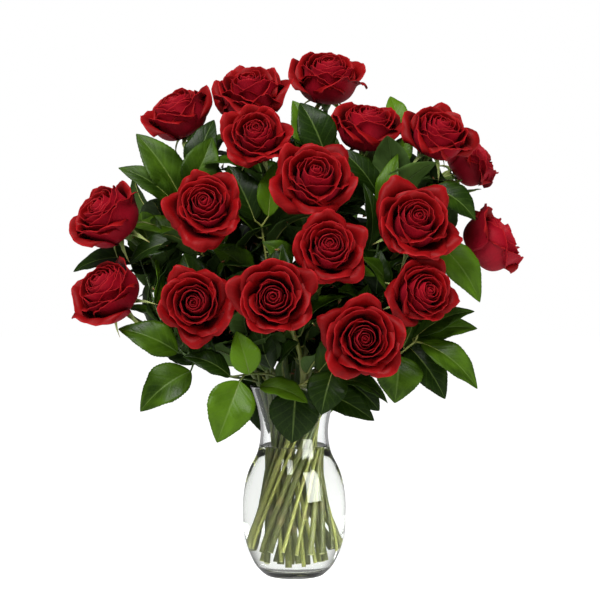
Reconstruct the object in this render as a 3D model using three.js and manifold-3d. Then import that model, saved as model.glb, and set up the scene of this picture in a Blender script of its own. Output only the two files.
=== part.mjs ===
// Eighteen long-stemmed roses and fourteen leafy greenery twigs in a clear glass vase of water.
// Millimetres, +Z up. The origin is the centre of the vase's flat foot, and -Y is the front.

import * as THREE from "three";
import { mergeVertices } from "three/addons/utils/BufferGeometryUtils.js";
import Module from "manifold-3d";

const wasm = await Module();
wasm.setup();

// ---------------------------------------------------------------- driving dimensions

const VASE_HEIGHT = 200;
const VASE_SIDES = 20;
const FOOT_RADIUS = 31;
const BELLY_RADIUS = 54;
const NECK_RADIUS = 35.5;
const MOUTH_RADIUS = 47;
const GLASS_THICKNESS = 3;
const FLOOR_THICKNESS = 9;
const WATER_LEVEL = 136;
const GAP = 0.35; // between neighbours that only touch

const STEM_RADIUS = 2.8;
const STEM_SIDES = 5;
const TWIG_RADIUS = 1.7;
const TWIG_SIDES = 3;
const STEM_BENDS = 5; // straight lengths between the mouth and the bloom
const TWIG_BENDS = 2; // straight lengths between two of a twig's points
const HOLE_CLEARANCE = 0.5; // round a stem in the water

const FAN = 4; // leaves on a plain twig
const WHORL = 5; // petals in a whorl, and sepals below them
const PETALS = 30; // in a bloom. The outer ones are modelled singly and the others as one wrapped heart
const PETAL_THICKNESS = 1.1;
const PETAL_HALF_SPAN = 0.45; // radians, so that the petals of one whorl stay apart
const PETAL_SIDE = 0.75; // how far across its petal that span reaches
const PETAL_TURN = 144; // degrees from a petal to the next one, which is on the far side
const SECOND_WHORL_INSET = 0.14; // of a bloom's rings, which keeps its two whorls clear of each other
const [HALF_OPEN_HEART, OPEN_HEART] = [0.6, 0.4]; // the ring that the outside of the wrapped heart is in
const HEART_BASE = -1.2; // below the bloom's own base
const FULLY_OPEN = 0.62; // from here on a bloom shows its second whorl
const HIP_RADIUS = 5.2;
const HIP_LENGTH = 11;
const SEPAL_LENGTH = 26;
const LEAF_THICKNESS = 0.9;
const LEAF_ROWS = [0, 0.22, 0.5, 0.78, 1];
const BLOOM_TO_HEAD = 22; // from a bloom's base to the middle of its head

// The stems stand in three rings and splay towards their feet. Each runs straight from its foot to its place
// at the mouth, and each ring is twisted by its own spiral, in degrees, so that they cross.
const MOUTH_PLACE_HEIGHT = 188;
const RINGS = {
  outer: { mouth: 32, foot: 39, footHeight: 28, step: 20, start: 0, spiral: -106 },
  middle: { mouth: 20, foot: 25, footHeight: 16, step: 40, start: 20, spiral: 100 },
  inner: { mouth: 9, foot: 11, footHeight: 13, step: 72, start: 10, spiral: 90 },
};

// Each rose: the middle of its head, the way it faces, its roll about that axis in degrees, how far it has
// opened (0 is cupped, 1 is full), its size, and its stem's place in the vase's mouth.
const rose = (name, head, faces, roll, opened, size, place) => {
  return { name, head, faces, roll, opened, size, place };
};
const ROSES = [
  rose("rose_top", [36, 70, 528], [0.05, -0.5, 0.87], 20, 0.4, 1.12, ["middle", 2]),
  rose("rose_top_left", [-46, 25, 506], [-0.1, -0.5, 0.86], 75, 0.95, 1.2, ["inner", 2]),
  rose("rose_upper_left", [-37, -58, 456], [-0.1, -0.85, 0.5], 140, 0.65, 0.94, ["middle", 6]),
  rose("rose_left_shoulder", [-124, 45, 487], [-0.42, -0.35, 0.85], 30, 0.2, 1.05, ["middle", 4]),
  rose("rose_top_right", [77, 12, 471], [0.12, -0.4, 0.91], 200, 0.2, 1.02, ["inner", 1]),
  rose("rose_right_shoulder", [149, -18, 461], [0.3, -0.65, 0.7], 15, 0.5, 0.99, ["middle", 1]),
  rose("rose_right_back", [192, 62, 436], [0.75, -0.1, 0.5], 100, 0.5, 1.0, ["outer", 3]),
  rose("rose_centre", [21, -84, 411], [0.08, -0.82, 0.57], 60, 0.9, 1.13, ["inner", 4]),
  rose("rose_left_centre", [-87, -95, 385], [-0.05, -0.92, 0.35], 250, 0.8, 1.0, ["outer", 11]),
  rose("rose_far_left", [-191, -30, 376], [-0.6, -0.5, 0.62], 170, 0.3, 1.1, ["outer", 8]),
  rose("rose_middle", [34, -127, 343], [0.05, -0.92, 0.35], 310, 0.7, 0.93, ["middle", 7]),
  rose("rose_right_centre", [120, -85, 368], [0.18, -0.85, 0.45], 125, 0.85, 1.15, ["middle", 8]),
  rose("rose_far_right", [209, 15, 350], [0.8, -0.12, 0.55], 45, 0.25, 1.12, ["outer", 2]),
  rose("rose_low_far_left", [-190, -45, 299], [-0.52, -0.54, 0.66], 215, 0.0, 1.08, ["outer", 9]),
  rose("rose_low_left", [-96, -112, 290], [-0.08, -0.98, 0.12], 330, 0.8, 1.0, ["outer", 12]),
  rose("rose_low_centre", [-19, -143, 296], [-0.02, -1, 0.12], 20, 1.0, 1.08, ["outer", 14]),
  rose("rose_low_right", [126, -100, 300], [0.45, -0.85, 0.2], 85, 0.6, 0.93, ["outer", 17]),
  rose("rose_front_right", [67, -142, 257], [0.05, -1, 0.08], 155, 1.0, 1.08, ["outer", 16]),
];

// Each greenery twig: its place in the vase's mouth, the points that it passes on its way out, and its leaves
// as [where the blade starts, its tip, its width, the way its upper face looks].
const FRONT = [0, -0.8, 0.6];
const TWIGS = [
  {
    name: "greenery_low_left", place: ["outer", 13],
    path: [[-22, -60, 215], [-40, -86, 219], [-49, -99, 219]],
    leaves: [
      [[-53, -105, 213], [-75, -118, 154], 46, [0.1, -0.95, 0.3]],
      [[-63, -98, 217], [-110, -100, 237], 26, [0, -0.7, 0.7]],
      [[-44, -103, 220], [-57, -99, 262], 30, [0.2, -0.95, 0.2]],
      [[-34, -82, 206], [14, -92, 190], 30, [0, -0.6, 0.8]],
    ],
  },
  {
    name: "greenery_left", place: ["outer", 10],
    path: [[-75, -42, 215], [-110, -50, 234], [-138, -26, 270], [-154, -12, 314]],
    leaves: [
      [[-104, -70, 220], [-154, -78, 180], 42, [-0.2, -0.9, 0.4]],
      [[-118, -58, 238], [-178, -60, 262], 36, [-0.2, -0.8, 0.6]],
      [[-145, -21, 284], [-152, -14, 342], 20, [0.9, -0.4, 0.2]],
      [[-163, 10, 332], [-236, 27, 318], 34, [0, -0.7, 0.7]],
    ],
  },
  {
    name: "greenery_upper_left", place: ["middle", 5],
    path: [[-60, -12, 280], [-100, -8, 345], [-116, -10, 390]],
    leaves: [
      [[-118, -12, 396], [-164, -14, 462], 42, [0.3, -0.9, 0.3]],
      [[-126, -20, 392], [-181, -28, 426], 28, [-0.2, -0.8, 0.6]],
      [[-109, -15, 403], [-85, -10, 459], 38, [0.3, -0.9, 0.3]],
      [[-120, -20, 350], [-172, -14, 326], 30, [0, -0.7, 0.7]],
      [[-116, 4, 360], [-170, 20, 366], 26, [0, -0.8, 0.6]],
    ],
  },
  {
    name: "greenery_centre", place: ["inner", 3], path: [[-25, -14, 255], [-27, -45, 318], [-33, -46, 366]],
    leaves: [
      [[-40, -50, 372], [-68, -38, 428], 36, FRONT],
      [[-26, -48, 376], [-20, -36, 430], 26, FRONT],
      [[-42, -50, 316], [-84, -55, 346], 32, FRONT],
      [[-4, -60, 324], [-32, -74, 350], 28, FRONT],
    ],
  },
  {
    name: "greenery_top", place: ["inner", 0], path: [[14, -8, 290], [28, -14, 380], [32, -18, 432]],
    leaves: [
      [[32, -20, 440], [6, -14, 494], 40, [0.1, -0.95, 0.3]],
      [[34, -10, 420], [37, 6, 468], 28, FRONT],
      [[22, -4, 388], [-24, 10, 422], 32, FRONT],
    ],
  },
  {
    name: "greenery_upper_right", place: ["middle", 0],
    path: [[60, -36, 258], [80, -46, 316], [90, -40, 372], [108, -4, 424], [115, 26, 462]],
    leaves: [
      [[93, -48, 376], [106, -40, 440], 24, [-0.4, -0.9, 0.2]],
      [[75, -50, 342], [70, -48, 410], 22, [0.6, -0.8, 0.1]],
      [[108, 0, 432], [121, -2, 462], 24, FRONT],
      [[114, 44, 468], [104, 64, 508], 24, FRONT],
      [[83, -58, 298], [87, -63, 342], 28, FRONT],
      [[70, -50, 292], [44, -72, 300], 26, [0, -0.6, 0.8]],
    ],
  },
  {
    name: "greenery_right", place: ["outer", 1], path: [[80, -20, 265], [128, -28, 335], [140, -26, 395]],
    leaves: [
      [[142, -28, 405], [186, -34, 372], 34, FRONT],
      [[146, -34, 350], [190, -42, 288], 38, [0.2, -0.9, 0.4]],
      [[120, -10, 340], [150, 30, 380], 30, [0, -0.5, 0.9]],
    ],
  },
  {
    name: "greenery_low_right", place: ["outer", 0], path: [[70, -50, 216], [104, -68, 236], [122, -70, 250]],
    leaves: [
      [[124, -72, 256], [182, -66, 280], 26, [0, -0.7, 0.7]],
      [[128, -78, 249], [182, -92, 204], 32, [0.1, -0.8, 0.6]],
      [[104, -80, 236], [100, -92, 190], 48, [0.1, -0.95, 0.3]],
    ],
  },
  {
    name: "greenery_front", place: ["outer", 15], path: [[8, -62, 206], [20, -78, 214], [34, -88, 220]],
    leaves: [
      [[2, -72, 204], [-2, -66, 147], 50, [0, -1, 0.15]],
      [[38, -98, 222], [27, -106, 180], 40, [-0.1, -0.95, 0.3]],
      [[30, -82, 200], [80, -88, 172], 30, [0, -0.85, 0.5]],
      [[40, -80, 212], [94, -76, 188], 26, [0, -0.5, 0.85]],
    ],
  },
  {
    name: "greenery_back_left", place: ["outer", 7], path: [[-70, 35, 240], [-115, 55, 300], [-140, 65, 365]],
  },
  {
    name: "greenery_back_low", place: ["outer", 6], path: [[-32, 72, 225], [-50, 110, 262], [-60, 128, 310]],
  },
  {
    name: "greenery_back", place: ["outer", 5], path: [[28, 66, 235], [40, 100, 290], [44, 112, 350]],
  },
  {
    name: "greenery_back_right", place: ["outer", 4], path: [[66, 52, 232], [112, 70, 290], [138, 78, 350]],
  },
  {
    name: "greenery_back_top", place: ["middle", 3], path: [[-14, 38, 300], [-21, 62, 380], [-25, 75, 440]],
  },
];

// ---------------------------------------------------------------- finishes

const finish = (color, roughness) => new THREE.MeshStandardMaterial({ color, roughness, metalness: 0 });
const clear = (color) =>
  new THREE.MeshStandardMaterial({ color, roughness: 0.03, metalness: 0, transparent: true, opacity: 0.3 });
const GLASS = clear(0xe8f0ee);
const WATER = clear(0xdfeadf);
const PETAL = finish(0x8c1015, 0.55);
const STEM = finish(0x5f7a36, 0.55);
const LEAF = finish(0x2a4513, 0.4);

// ---------------------------------------------------------------- small helpers

const rad = THREE.MathUtils.degToRad;
const vec = (p) => new THREE.Vector3(...p);
const UP = new THREE.Vector3(0, 0, 1);

function polar(radius, degrees, height) {
  return new THREE.Vector3(radius * Math.cos(rad(degrees)), radius * Math.sin(rad(degrees)), height);
}

// A repeatable draw from 0 to 1 for a thing's seed and number.
function draw(seed, number) {
  const s = Math.sin(seed * 12.9898 + number * 78.233) * 43758.5453;
  return s - Math.floor(s);
}

function smooth(from, to, x) {
  const t = Math.min(Math.max((x - from) / (to - from), 0), 1);
  return t * t * (3 - 2 * t);
}

function valueAt(keys, values, x) {
  const i = Math.min(keys.findIndex((k) => x <= k + 1e-9) - 1, keys.length - 2);
  if (i < 0) return values[0];
  return values[i] + ((values[i + 1] - values[i]) * (x - keys[i])) / (keys[i + 1] - keys[i]);
}

function solid(geometry) {
  geometry.deleteAttribute("normal");
  geometry.deleteAttribute("uv");
  const merged = mergeVertices(geometry, 1e-4);
  const mesh = new wasm.Mesh({
    numProp: 3,
    vertProperties: new Float32Array(merged.attributes.position.array),
    triVerts: new Uint32Array(merged.index.array),
  });
  return new wasm.Manifold(mesh);
}

// A skin of triangles, without those that are pinched to a line.
function skin(triangles) {
  const pinched = (p, q) => p.distanceTo(q) < 1e-6;
  const whole = triangles.filter(([a, b, c]) => !pinched(a, b) && !pinched(b, c) && !pinched(c, a));
  const corners = whole.flat().flatMap((corner) => corner.toArray());
  return new THREE.BufferGeometry().setAttribute("position", new THREE.Float32BufferAttribute(corners, 3));
}

// A closed skin through rings of points, from the lowest ring to the highest. A ring may be pinched to one
// point.
function closedRings(rings) {
  const triangles = [];
  for (let i = 0; i + 1 < rings.length; i++) {
    const [lower, upper] = [rings[i], rings[i + 1]];
    lower.forEach((a, j) => {
      const k = (j + 1) % lower.length;
      triangles.push([a, lower[k], upper[k]], [a, upper[k], upper[j]]);
    });
  }
  return skin(triangles);
}

// A solid turned about Z from [radius, height] points.
function turned(points, sides) {
  const lathe = new THREE.LatheGeometry(points.map(([r, z]) => new THREE.Vector2(r, z)), sides);
  return lathe.rotateX(Math.PI / 2);
}

function fuse(solids) {
  return solids.reduce((all, one) => all.add(one));
}

function meshOf(name, body, material) {
  const { vertProperties, triVerts, numProp, numVert } = body.getMesh();
  const position = new Float32Array(numVert * 3);
  for (let i = 0; i < numVert; i++) {
    position.set(vertProperties.subarray(i * numProp, i * numProp + 3), i * 3);
  }
  const geometry = new THREE.BufferGeometry()
    .setAttribute("position", new THREE.BufferAttribute(position, 3))
    .setIndex(new THREE.BufferAttribute(triVerts, 1));
  geometry.computeVertexNormals();
  const mesh = new THREE.Mesh(geometry, material);
  mesh.name = name;
  return mesh;
}

// The biggest piece of a body: scraps that a cut leaves loose are dropped.
function largest(body) {
  return body.decompose().sort((a, b) => b.volume() - a.volume())[0];
}

// A path that an extrusion follows with one step for each of its points, however far apart they are.
class StationPath extends THREE.Curve {
  constructor(points) {
    super();
    this.points = points;
  }
  getPoint(t) {
    const x = t * (this.points.length - 1);
    const i = Math.min(Math.floor(x), this.points.length - 2);
    return this.points[i].clone().lerp(this.points[i + 1], x - i);
  }
  getPointAt(u) {
    return this.getPoint(u);
  }
  getTangentAt(u) {
    const i = Math.round(u * (this.points.length - 1));
    const before = this.points[Math.max(i - 1, 0)];
    const after = this.points[Math.min(i + 1, this.points.length - 1)];
    return after.clone().sub(before).normalize();
  }
}

function tube(points, radius, sides) {
  const corners = Array.from({ length: sides }, (_, i) => polar(radius, (360 * i) / sides, 0));
  const section = new THREE.Shape(corners.map((c) => new THREE.Vector2(c.x, c.y)));
  const path = new StationPath(points);
  return solid(new THREE.ExtrudeGeometry(section, { steps: points.length - 1, extrudePath: path }));
}

// A thin closed blade about a grid of points, grid[column][row], with both faces split into triangles alike.
// Its first or last row may be pinched to one point.
function bladeGeometry(grid, thickness) {
  const columns = grid.length;
  const rows = grid[0].length;
  const faces = [1, -1].map((side) =>
    grid.map((column, i) =>
      column.map((point, j) => {
        const pinched = grid[0][j].distanceTo(grid[1][j]) < 1e-6;
        const beside = pinched ? Math.abs(j - 1) : j;
        const [from, to] = pinched ? [0, columns - 1] : [Math.max(i - 1, 0), Math.min(i + 1, columns - 1)];
        const spine = pinched ? grid[columns >> 1] : column;
        const across = grid[to][beside].clone().sub(grid[from][beside]);
        const along = spine[Math.min(j + 1, rows - 1)].clone().sub(spine[Math.max(j - 1, 0)]);
        const normal = across.cross(along).normalize();
        return point.clone().addScaledVector(normal, (side * thickness) / 2);
      }),
    ),
  );
  const [top, under] = faces;
  const triangles = [];
  const wall = (a, b, c, d) => triangles.push([a, b, c], [a, c, d]);
  for (let i = 0; i + 1 < columns; i++) {
    for (let j = 0; j + 1 < rows; j++) {
      wall(top[i][j], top[i + 1][j], top[i + 1][j + 1], top[i][j + 1]);
      triangles.push([under[i][j], under[i + 1][j + 1], under[i + 1][j]]);
      triangles.push([under[i][j], under[i][j + 1], under[i + 1][j + 1]]);
    }
    const end = rows - 1;
    wall(top[i][0], under[i][0], under[i + 1][0], top[i + 1][0]);
    wall(top[i][end], top[i + 1][end], under[i + 1][end], under[i][end]);
  }
  for (let j = 0; j + 1 < rows; j++) {
    const end = columns - 1;
    wall(top[0][j], top[0][j + 1], under[0][j + 1], under[0][j]);
    wall(top[end][j], under[end][j], under[end][j + 1], top[end][j + 1]);
  }
  return skin(triangles);
}

const blade = (grid, thickness) => solid(bladeGeometry(grid, thickness));

// ---------------------------------------------------------------- vase and water

// The outside of the glass, from its flat foot to the rim: a round belly, a narrow neck and a flared mouth.
const OUTSIDE = [
  [FOOT_RADIUS, 0],
  [38.5, 7],
  [46, 20],
  [52, 38],
  [BELLY_RADIUS, 60],
  [53.5, 84],
  [48.5, 108],
  [38.5, 130],
  [NECK_RADIUS, 152],
  [39, 174],
  [MOUTH_RADIUS, VASE_HEIGHT],
];
const FLOOR_EDGE = 12; // how far the inside's rounded bottom edge reaches in from its wall

function insideRadius(height) {
  const [radii, heights] = [OUTSIDE.map(([r]) => r), OUTSIDE.map(([, z]) => z)];
  return valueAt(heights, radii, height) - GLASS_THICKNESS;
}

function insideLine(levels) {
  return levels.map((z) => [insideRadius(z), z]);
}

function vaseSolid() {
  const wall = insideLine([VASE_HEIGHT, 176, 152, 130, 100, 60, 34, FLOOR_THICKNESS + 5]);
  const floor = [insideRadius(FLOOR_THICKNESS + 5) - FLOOR_EDGE, FLOOR_THICKNESS];
  return solid(turned([[0, 0], ...OUTSIDE, ...wall, floor, [0, FLOOR_THICKNESS]], VASE_SIDES));
}

function waterSolid(stands) {
  const inset = GAP + 0.25;
  const floor = [insideRadius(FLOOR_THICKNESS + 5) - FLOOR_EDGE, FLOOR_THICKNESS + GAP];
  const levels = [FLOOR_THICKNESS + 6, 34, 60, 100, 130, WATER_LEVEL];
  const wall = insideLine(levels).map(([r, z]) => [r - inset, z]);
  const full = solid(turned([[0, FLOOR_THICKNESS + GAP], floor, ...wall, [0, WATER_LEVEL]], VASE_SIDES));
  const holes = stands.map(({ foot, mouth, radius, sides }) => {
    const along = mouth.clone().sub(foot).normalize();
    const start = foot.clone().addScaledVector(along, -HOLE_CLEARANCE);
    return tube([start, mouth], radius + HOLE_CLEARANCE, sides);
  });
  return largest(holes.reduce((water, hole) => water.subtract(hole), full));
}

// ---------------------------------------------------------------- stems in the vase

// Where a stem stands: its foot in the water and its place at the mouth.
function placeInVase([ringName, number], seed) {
  const ring = RINGS[ringName];
  const turn = ring.start + ring.step * number + 3 * (draw(seed, 1) - 0.5);
  const footRadius = ring.foot * (1 - 0.05 * draw(seed, 2));
  return {
    foot: polar(footRadius, turn + ring.spiral, ring.footHeight + 5 * draw(seed, 3)),
    mouth: polar(ring.mouth, turn, MOUTH_PLACE_HEIGHT),
  };
}

// ---------------------------------------------------------------- blooms

// A petal's measures, innermost at the heart and outermost.
const PETAL_LENGTH = [38, 52];
const PETAL_HALF_WIDTH = [12, 34];
const BASE_RADIUS = [1.5, 4.5];
const BASE_HEIGHT = [5, 0];
const SIDE_CURL = [10, 120]; // degrees that its sides roll back by
const SIDE_LIFT = [0.6, 3.2]; // how far one side stands out over the next petal
const RIM_WAVE = [0.35, 1.65];
const FACE_WAVE = [0.2, 1.3];
const SPREAD = 14; // degrees between the petals that lean in most and those that lean out most
const FALLEN_FROM = 0.72; // a draw above it is a petal whose rim has fallen outwards
const FALLEN = 40; // degrees
const CORNER_ROUNDING = 0.063; // how blunt the corner in the middle of its rim is

// How far a petal leans from the bloom's axis, in degrees, from its base to its rim: for rings of petals from
// 0 at the heart to 1 outermost, in a full bloom and in a cupped one.
const LEAN_AT = [0, 0.22, 0.45, 0.68, 0.86, 1];
const RINGS_AT = [0, 0.35, 0.65, 1];
const OPEN_LEANS = [
  [40, 5, -6, -14, -18, -16],
  [84, 42, 10, -6, -4, 8],
  [92, 62, 28, 6, 14, 40],
  [95, 64, 30, 22, 54, 96],
];
const CUPPED_LEANS = [
  [40, 5, -6, -14, -18, -16],
  [88, 50, 8, -12, -16, -14],
  [96, 68, 18, -10, -12, 0],
  [98, 80, 32, -2, 2, 36],
];
const TRACE_STEPS = 24;

function petalLean(ring, opened, spread = 0) {
  const columnOf = (leans, i) => valueAt(RINGS_AT, leans.map((row) => row[i]), ring);
  return LEAN_AT.map((at, i) => {
    const lean = opened * columnOf(OPEN_LEANS, i) + (1 - opened) * columnOf(CUPPED_LEANS, i);
    return lean + spread * at;
  });
}

const between = ([inner, outer], share) => inner + (outer - inner) * share;
const petalLength = (ring) => between(PETAL_LENGTH, ring ** 0.8);
const petalHalfWidth = (ring) => between(PETAL_HALF_WIDTH, ring ** 0.8);

// The line that a petal follows from its base to its rim, as [radius, height] from the bloom's base. The
// angle at a share v of its length is given by leanAt.
function petalLine(ring, length, leanAt) {
  let [radius, height] = [between(BASE_RADIUS, ring), between(BASE_HEIGHT, ring)];
  const line = [[radius, height]];
  for (let i = 0; i < TRACE_STEPS; i++) {
    const angle = rad(leanAt((i + 0.5) / TRACE_STEPS));
    radius += (Math.sin(angle) * length) / TRACE_STEPS;
    height += (Math.cos(angle) * length) / TRACE_STEPS;
    line.push([radius, height]);
  }
  return line;
}

// A petal as columns of points: across runs from side to side, and each column rises from the pinched base to
// the rim, which comes to a corner in its middle and rolls back beside it.
function petalGrid(ring, azimuth, rows, { opened, size }, seed) {
  const outer = smooth(0.4, 0.8, ring);
  const lean = petalLean(ring, opened, SPREAD * (1 + opened) * ring * (draw(seed, 1) - 0.5));
  const fallen = draw(seed, 7) > FALLEN_FROM ? FALLEN * outer : 0;
  const rolls = (0.5 + 0.5 * opened) * (0.6 + 0.8 * draw(seed, 2));
  const curl = between(SIDE_CURL, smooth(0.15, 0.85, ring)) * rolls;
  const whole = petalLength(ring) * (0.94 + 0.12 * draw(seed, 5));
  const shoulder = PETAL_LENGTH[1] * (0.13 + 0.14 * opened + 0.1 * draw(seed, 3)) * outer;
  const wave = 2 * Math.PI * draw(seed, 4);
  const lineAt = (across) => {
    const side = Math.abs(across);
    const fall = shoulder * (Math.hypot(side, CORNER_ROUNDING) - CORNER_ROUNDING);
    const length = whole * (1.08 - 0.06 * opened - 0.2 * side ** 2.2 * (1 - outer)) - fall;
    const turnedBack = curl * (1 + 0.7 * (draw(seed, 8) - 0.5) * across) * (0.1 + 0.9 * side ** 1.2);
    const rolled = (v) => smooth(0, 1, (v - 0.8 + 0.32 * side) / (0.24 + 0.32 * side));
    const leanAt = (v) => valueAt(LEAN_AT, lean, v) + fallen * v ** 3 + turnedBack * rolled(v);
    return petalLine(ring, length, leanAt);
  };
  const middle = lineAt(0);
  return [-PETAL_SIDE, 0, PETAL_SIDE].map((across) => {
    const line = lineAt(across);
    return rows.map((v, row) => {
      const at = Math.round(v * TRACE_STEPS);
      const halfWidth = row ? petalHalfWidth(ring) * (0.2 + 0.8 * smooth(-0.05, 0.6, v)) : 0;
      const span = Math.min((PETAL_SIDE * halfWidth) / Math.max(middle[at][0], 3), PETAL_HALF_SPAN);
      const angle = azimuth + span * Math.sign(across);
      const [lineRadius, lineHeight] = row ? line[at] : middle[at];
      const lift = row ? between(SIDE_LIFT, ring) * across * smooth(0.05, 0.5, v) : 0;
      const dent = between(FACE_WAVE, ring) * Math.sin(4 * across + 1.7 * wave) * v ** 3;
      const ripple = between(RIM_WAVE, ring) * Math.sin(5 * across + wave) * v ** 4;
      const radius = lineRadius + lift + dent;
      const [x, y] = [radius * Math.cos(angle), radius * Math.sin(angle)];
      return new THREE.Vector3(x, y, lineHeight + ripple).multiplyScalar(size);
    });
  });
}

// The wrapped heart of a bloom: the cup of its inner petals, which the others stand out of. Its flat sides
// face the petals next to it.
function heartSolid(ring, degrees, { opened, size }) {
  const lean = petalLean(ring, opened);
  const line = petalLine(ring, petalLength(ring), (v) => valueAt(LEAN_AT, lean, v));
  const cup = [0.6, 1].map((v) => line[Math.round(v * TRACE_STEPS)]);
  const [rim, top] = cup.at(-1);
  const profile = [[0, HEART_BASE], [8, HEART_BASE], [10, 6], ...cup, [rim * 0.5, top - 3], [0, top - 1]];
  return solid(turned(profile.map(([r, z]) => [r * size, z * size]), WHORL).rotateZ(rad(degrees)));
}

// One whorl of petals round the heart of a half-open bloom, and a second one inside it once it is fully open.
// The petals are numbered inwards, each in a ring a little nearer to the heart.
function bloomSolid(rose, seed) {
  const whorls = rose.opened < FULLY_OPEN ? 1 : 2;
  const petals = Array.from({ length: WHORL * whorls }, (_, number) => {
    const whorl = Math.floor(number / WHORL);
    const ring = 1 - (number / (PETALS - 1)) ** 0.75 - SECOND_WHORL_INSET * whorl;
    const azimuth = rad(PETAL_TURN * number + (180 / WHORL) * whorl + 16 * (draw(seed, number) - 0.5));
    const rows = whorl ? [0, 0.55, 1] : [0, 0.42, 0.78, 1];
    return blade(petalGrid(ring, azimuth, rows, rose, seed + 20 * number), PETAL_THICKNESS);
  });
  const [heartRing, side] = whorls === 1 ? [HALF_OPEN_HEART, -1] : [OPEN_HEART, 1];
  return fuse([heartSolid(heartRing, (side * 90) / WHORL, rose), ...petals]);
}

// ---------------------------------------------------------------- rose stems

// The green hip below a bloom, with its five narrow sepals bent back: rings of points round the bloom's axis,
// where every other column runs out to a sepal's tip.
function calyxSolid(size, seed, place) {
  const top = HEART_BASE - GAP;
  const rings = [
    [0, -HIP_LENGTH],
    [STEM_RADIUS + 0.8, -HIP_LENGTH],
    [HIP_RADIUS, -4.8],
    [HIP_RADIUS, -3],
    [0, top],
  ];
  const grid = rings.map(([radius, height], row) =>
    Array.from({ length: 2 * WHORL }, (_, i) => {
      const number = i / 2;
      const isTip = (row === 2 || row === 3) && Number.isInteger(number);
      const azimuth = (360 / (2 * WHORL)) * i + (isTip ? 20 * (draw(seed, 90 + number) - 0.5) : 0);
      const droop = rad(115 + 25 * draw(seed, 95 + number));
      const length = isTip ? SEPAL_LENGTH * (0.85 + 0.3 * draw(seed, 100 + number)) : 0;
      const point = polar(radius + length * Math.sin(droop), azimuth, height + length * Math.cos(droop));
      return point.multiplyScalar(size);
    }),
  );
  return solid(place(closedRings(grid)));
}

// From its foot the stem runs straight through the vase, then bends smoothly up into its bloom.
function stemPath(foot, mouth, end, endDirection, bends) {
  const out = mouth.clone().sub(foot).normalize();
  const reach = mouth.distanceTo(end);
  const first = mouth.clone().addScaledVector(out, reach * 0.42);
  const last = end.clone().addScaledVector(endDirection, -reach * 0.3);
  return [foot, ...new THREE.CubicBezierCurve3(mouth, first, last, end).getPoints(bends)];
}

function stemSolid(rose, seed, base, turn, axis) {
  const end = base.clone().addScaledVector(axis, -(HIP_LENGTH - 2) * rose.size);
  const path = stemPath(rose.stand.foot, rose.stand.mouth, end, axis, STEM_BENDS);
  const stem = tube(path, STEM_RADIUS, STEM_SIDES);
  const place = (geometry) => geometry.applyQuaternion(turn).translate(...base.toArray());
  return fuse([stem, calyxSolid(rose.size, seed, place)]);
}

// ---------------------------------------------------------------- greenery

// The half width of a leaf, as a share of its widest, from its base to its pointed tip.
function leafOutline(s) {
  return Math.max(Math.sin(Math.PI * s ** 0.72), 0) ** 0.85;
}

// A leaf: a narrow stalk from the twig, then a blade folded a little along its rib, arched from base to tip,
// with a waved edge.
function leafGrid([start, tip, width, upper], root, seed) {
  const [a, b, up] = [vec(start), vec(tip), vec(upper)];
  const along = b.clone().sub(a);
  const length = along.length();
  along.normalize();
  const normal = up.clone().addScaledVector(along, -up.dot(along)).normalize();
  const side = along.clone().cross(normal);
  const arch = length * (0.1 + 0.08 * draw(seed, 1));
  return [-1, 0, 1].map((across) => [
    root,
    ...LEAF_ROWS.map((s) => {
      const half = s === 1 ? 0 : Math.max((width / 2) * leafOutline(s), 1.2);
      const rise = 4 * arch * s * (1 - s) + Math.abs(across) * half * 0.22;
      const wave = s === 1 ? 0 : across * 1.6 * Math.sin(7 * s + 6 * draw(seed, 2)) * leafOutline(s);
      return a
        .clone()
        .addScaledVector(along, length * s)
        .addScaledVector(side, across * half)
        .addScaledVector(normal, rise + wave);
    }),
  ]);
}

// Leaves set alternately along the last half of a twig, each leaning out from it.
function fanOfLeaves(path, seed) {
  const curve = new THREE.CatmullRomCurve3(path);
  return Array.from({ length: FAN }, (_, i) => {
    const at = 0.5 + (0.5 * i) / (FAN - 1);
    const from = curve.getPoint(at);
    const ahead = curve.getTangent(at);
    const outward = new THREE.Vector3(from.x, from.y, 0).normalize();
    const sideways = ahead.clone().cross(outward).normalize();
    const hand = i === FAN - 1 ? 0 : i % 2 ? 1 : -1;
    const direction = ahead
      .clone()
      .multiplyScalar(hand ? 0.55 : 1)
      .addScaledVector(sideways, 0.95 * hand)
      .addScaledVector(outward, 0.25)
      .normalize();
    const start = from.clone().addScaledVector(direction, 8);
    const leafTip = start.clone().addScaledVector(direction, 58 + 12 * draw(seed, 10 + i));
    const upper = outward.clone().add(new THREE.Vector3(0, 0, 0.5));
    return [start.toArray(), leafTip.toArray(), 38 + 8 * draw(seed, 20 + i), upper.toArray()];
  });
}

function nearestOnPath(points, target) {
  let best = points[0];
  for (let i = 0; i + 1 < points.length; i++) {
    const part = new THREE.Line3(points[i], points[i + 1]);
    const near = part.closestPointToPoint(target, true, new THREE.Vector3());
    if (near.distanceTo(target) < best.distanceTo(target)) best = near;
  }
  return best;
}

function twigSolid(twig, seed) {
  const { foot, mouth } = twig.stand;
  const out = mouth.clone().sub(foot).normalize();
  const way = [mouth, mouth.clone().addScaledVector(out, 14), ...twig.path.map(vec)];
  const bend = new THREE.CatmullRomCurve3(way, false, "centripetal").getPoints(TWIG_BENDS * (way.length - 1));
  const leaves = twig.leaves ?? fanOfLeaves(way.slice(1), seed);
  const blades = leaves.map((leaf, i) => {
    const root = nearestOnPath(bend, vec(leaf[0]));
    return blade(leafGrid(leaf, root, seed * 10 + i), LEAF_THICKNESS);
  });
  return fuse([tube([foot, ...bend], TWIG_RADIUS, TWIG_SIDES), ...blades]);
}

// ---------------------------------------------------------------- assembly

const bouquet = new THREE.Group();

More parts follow.
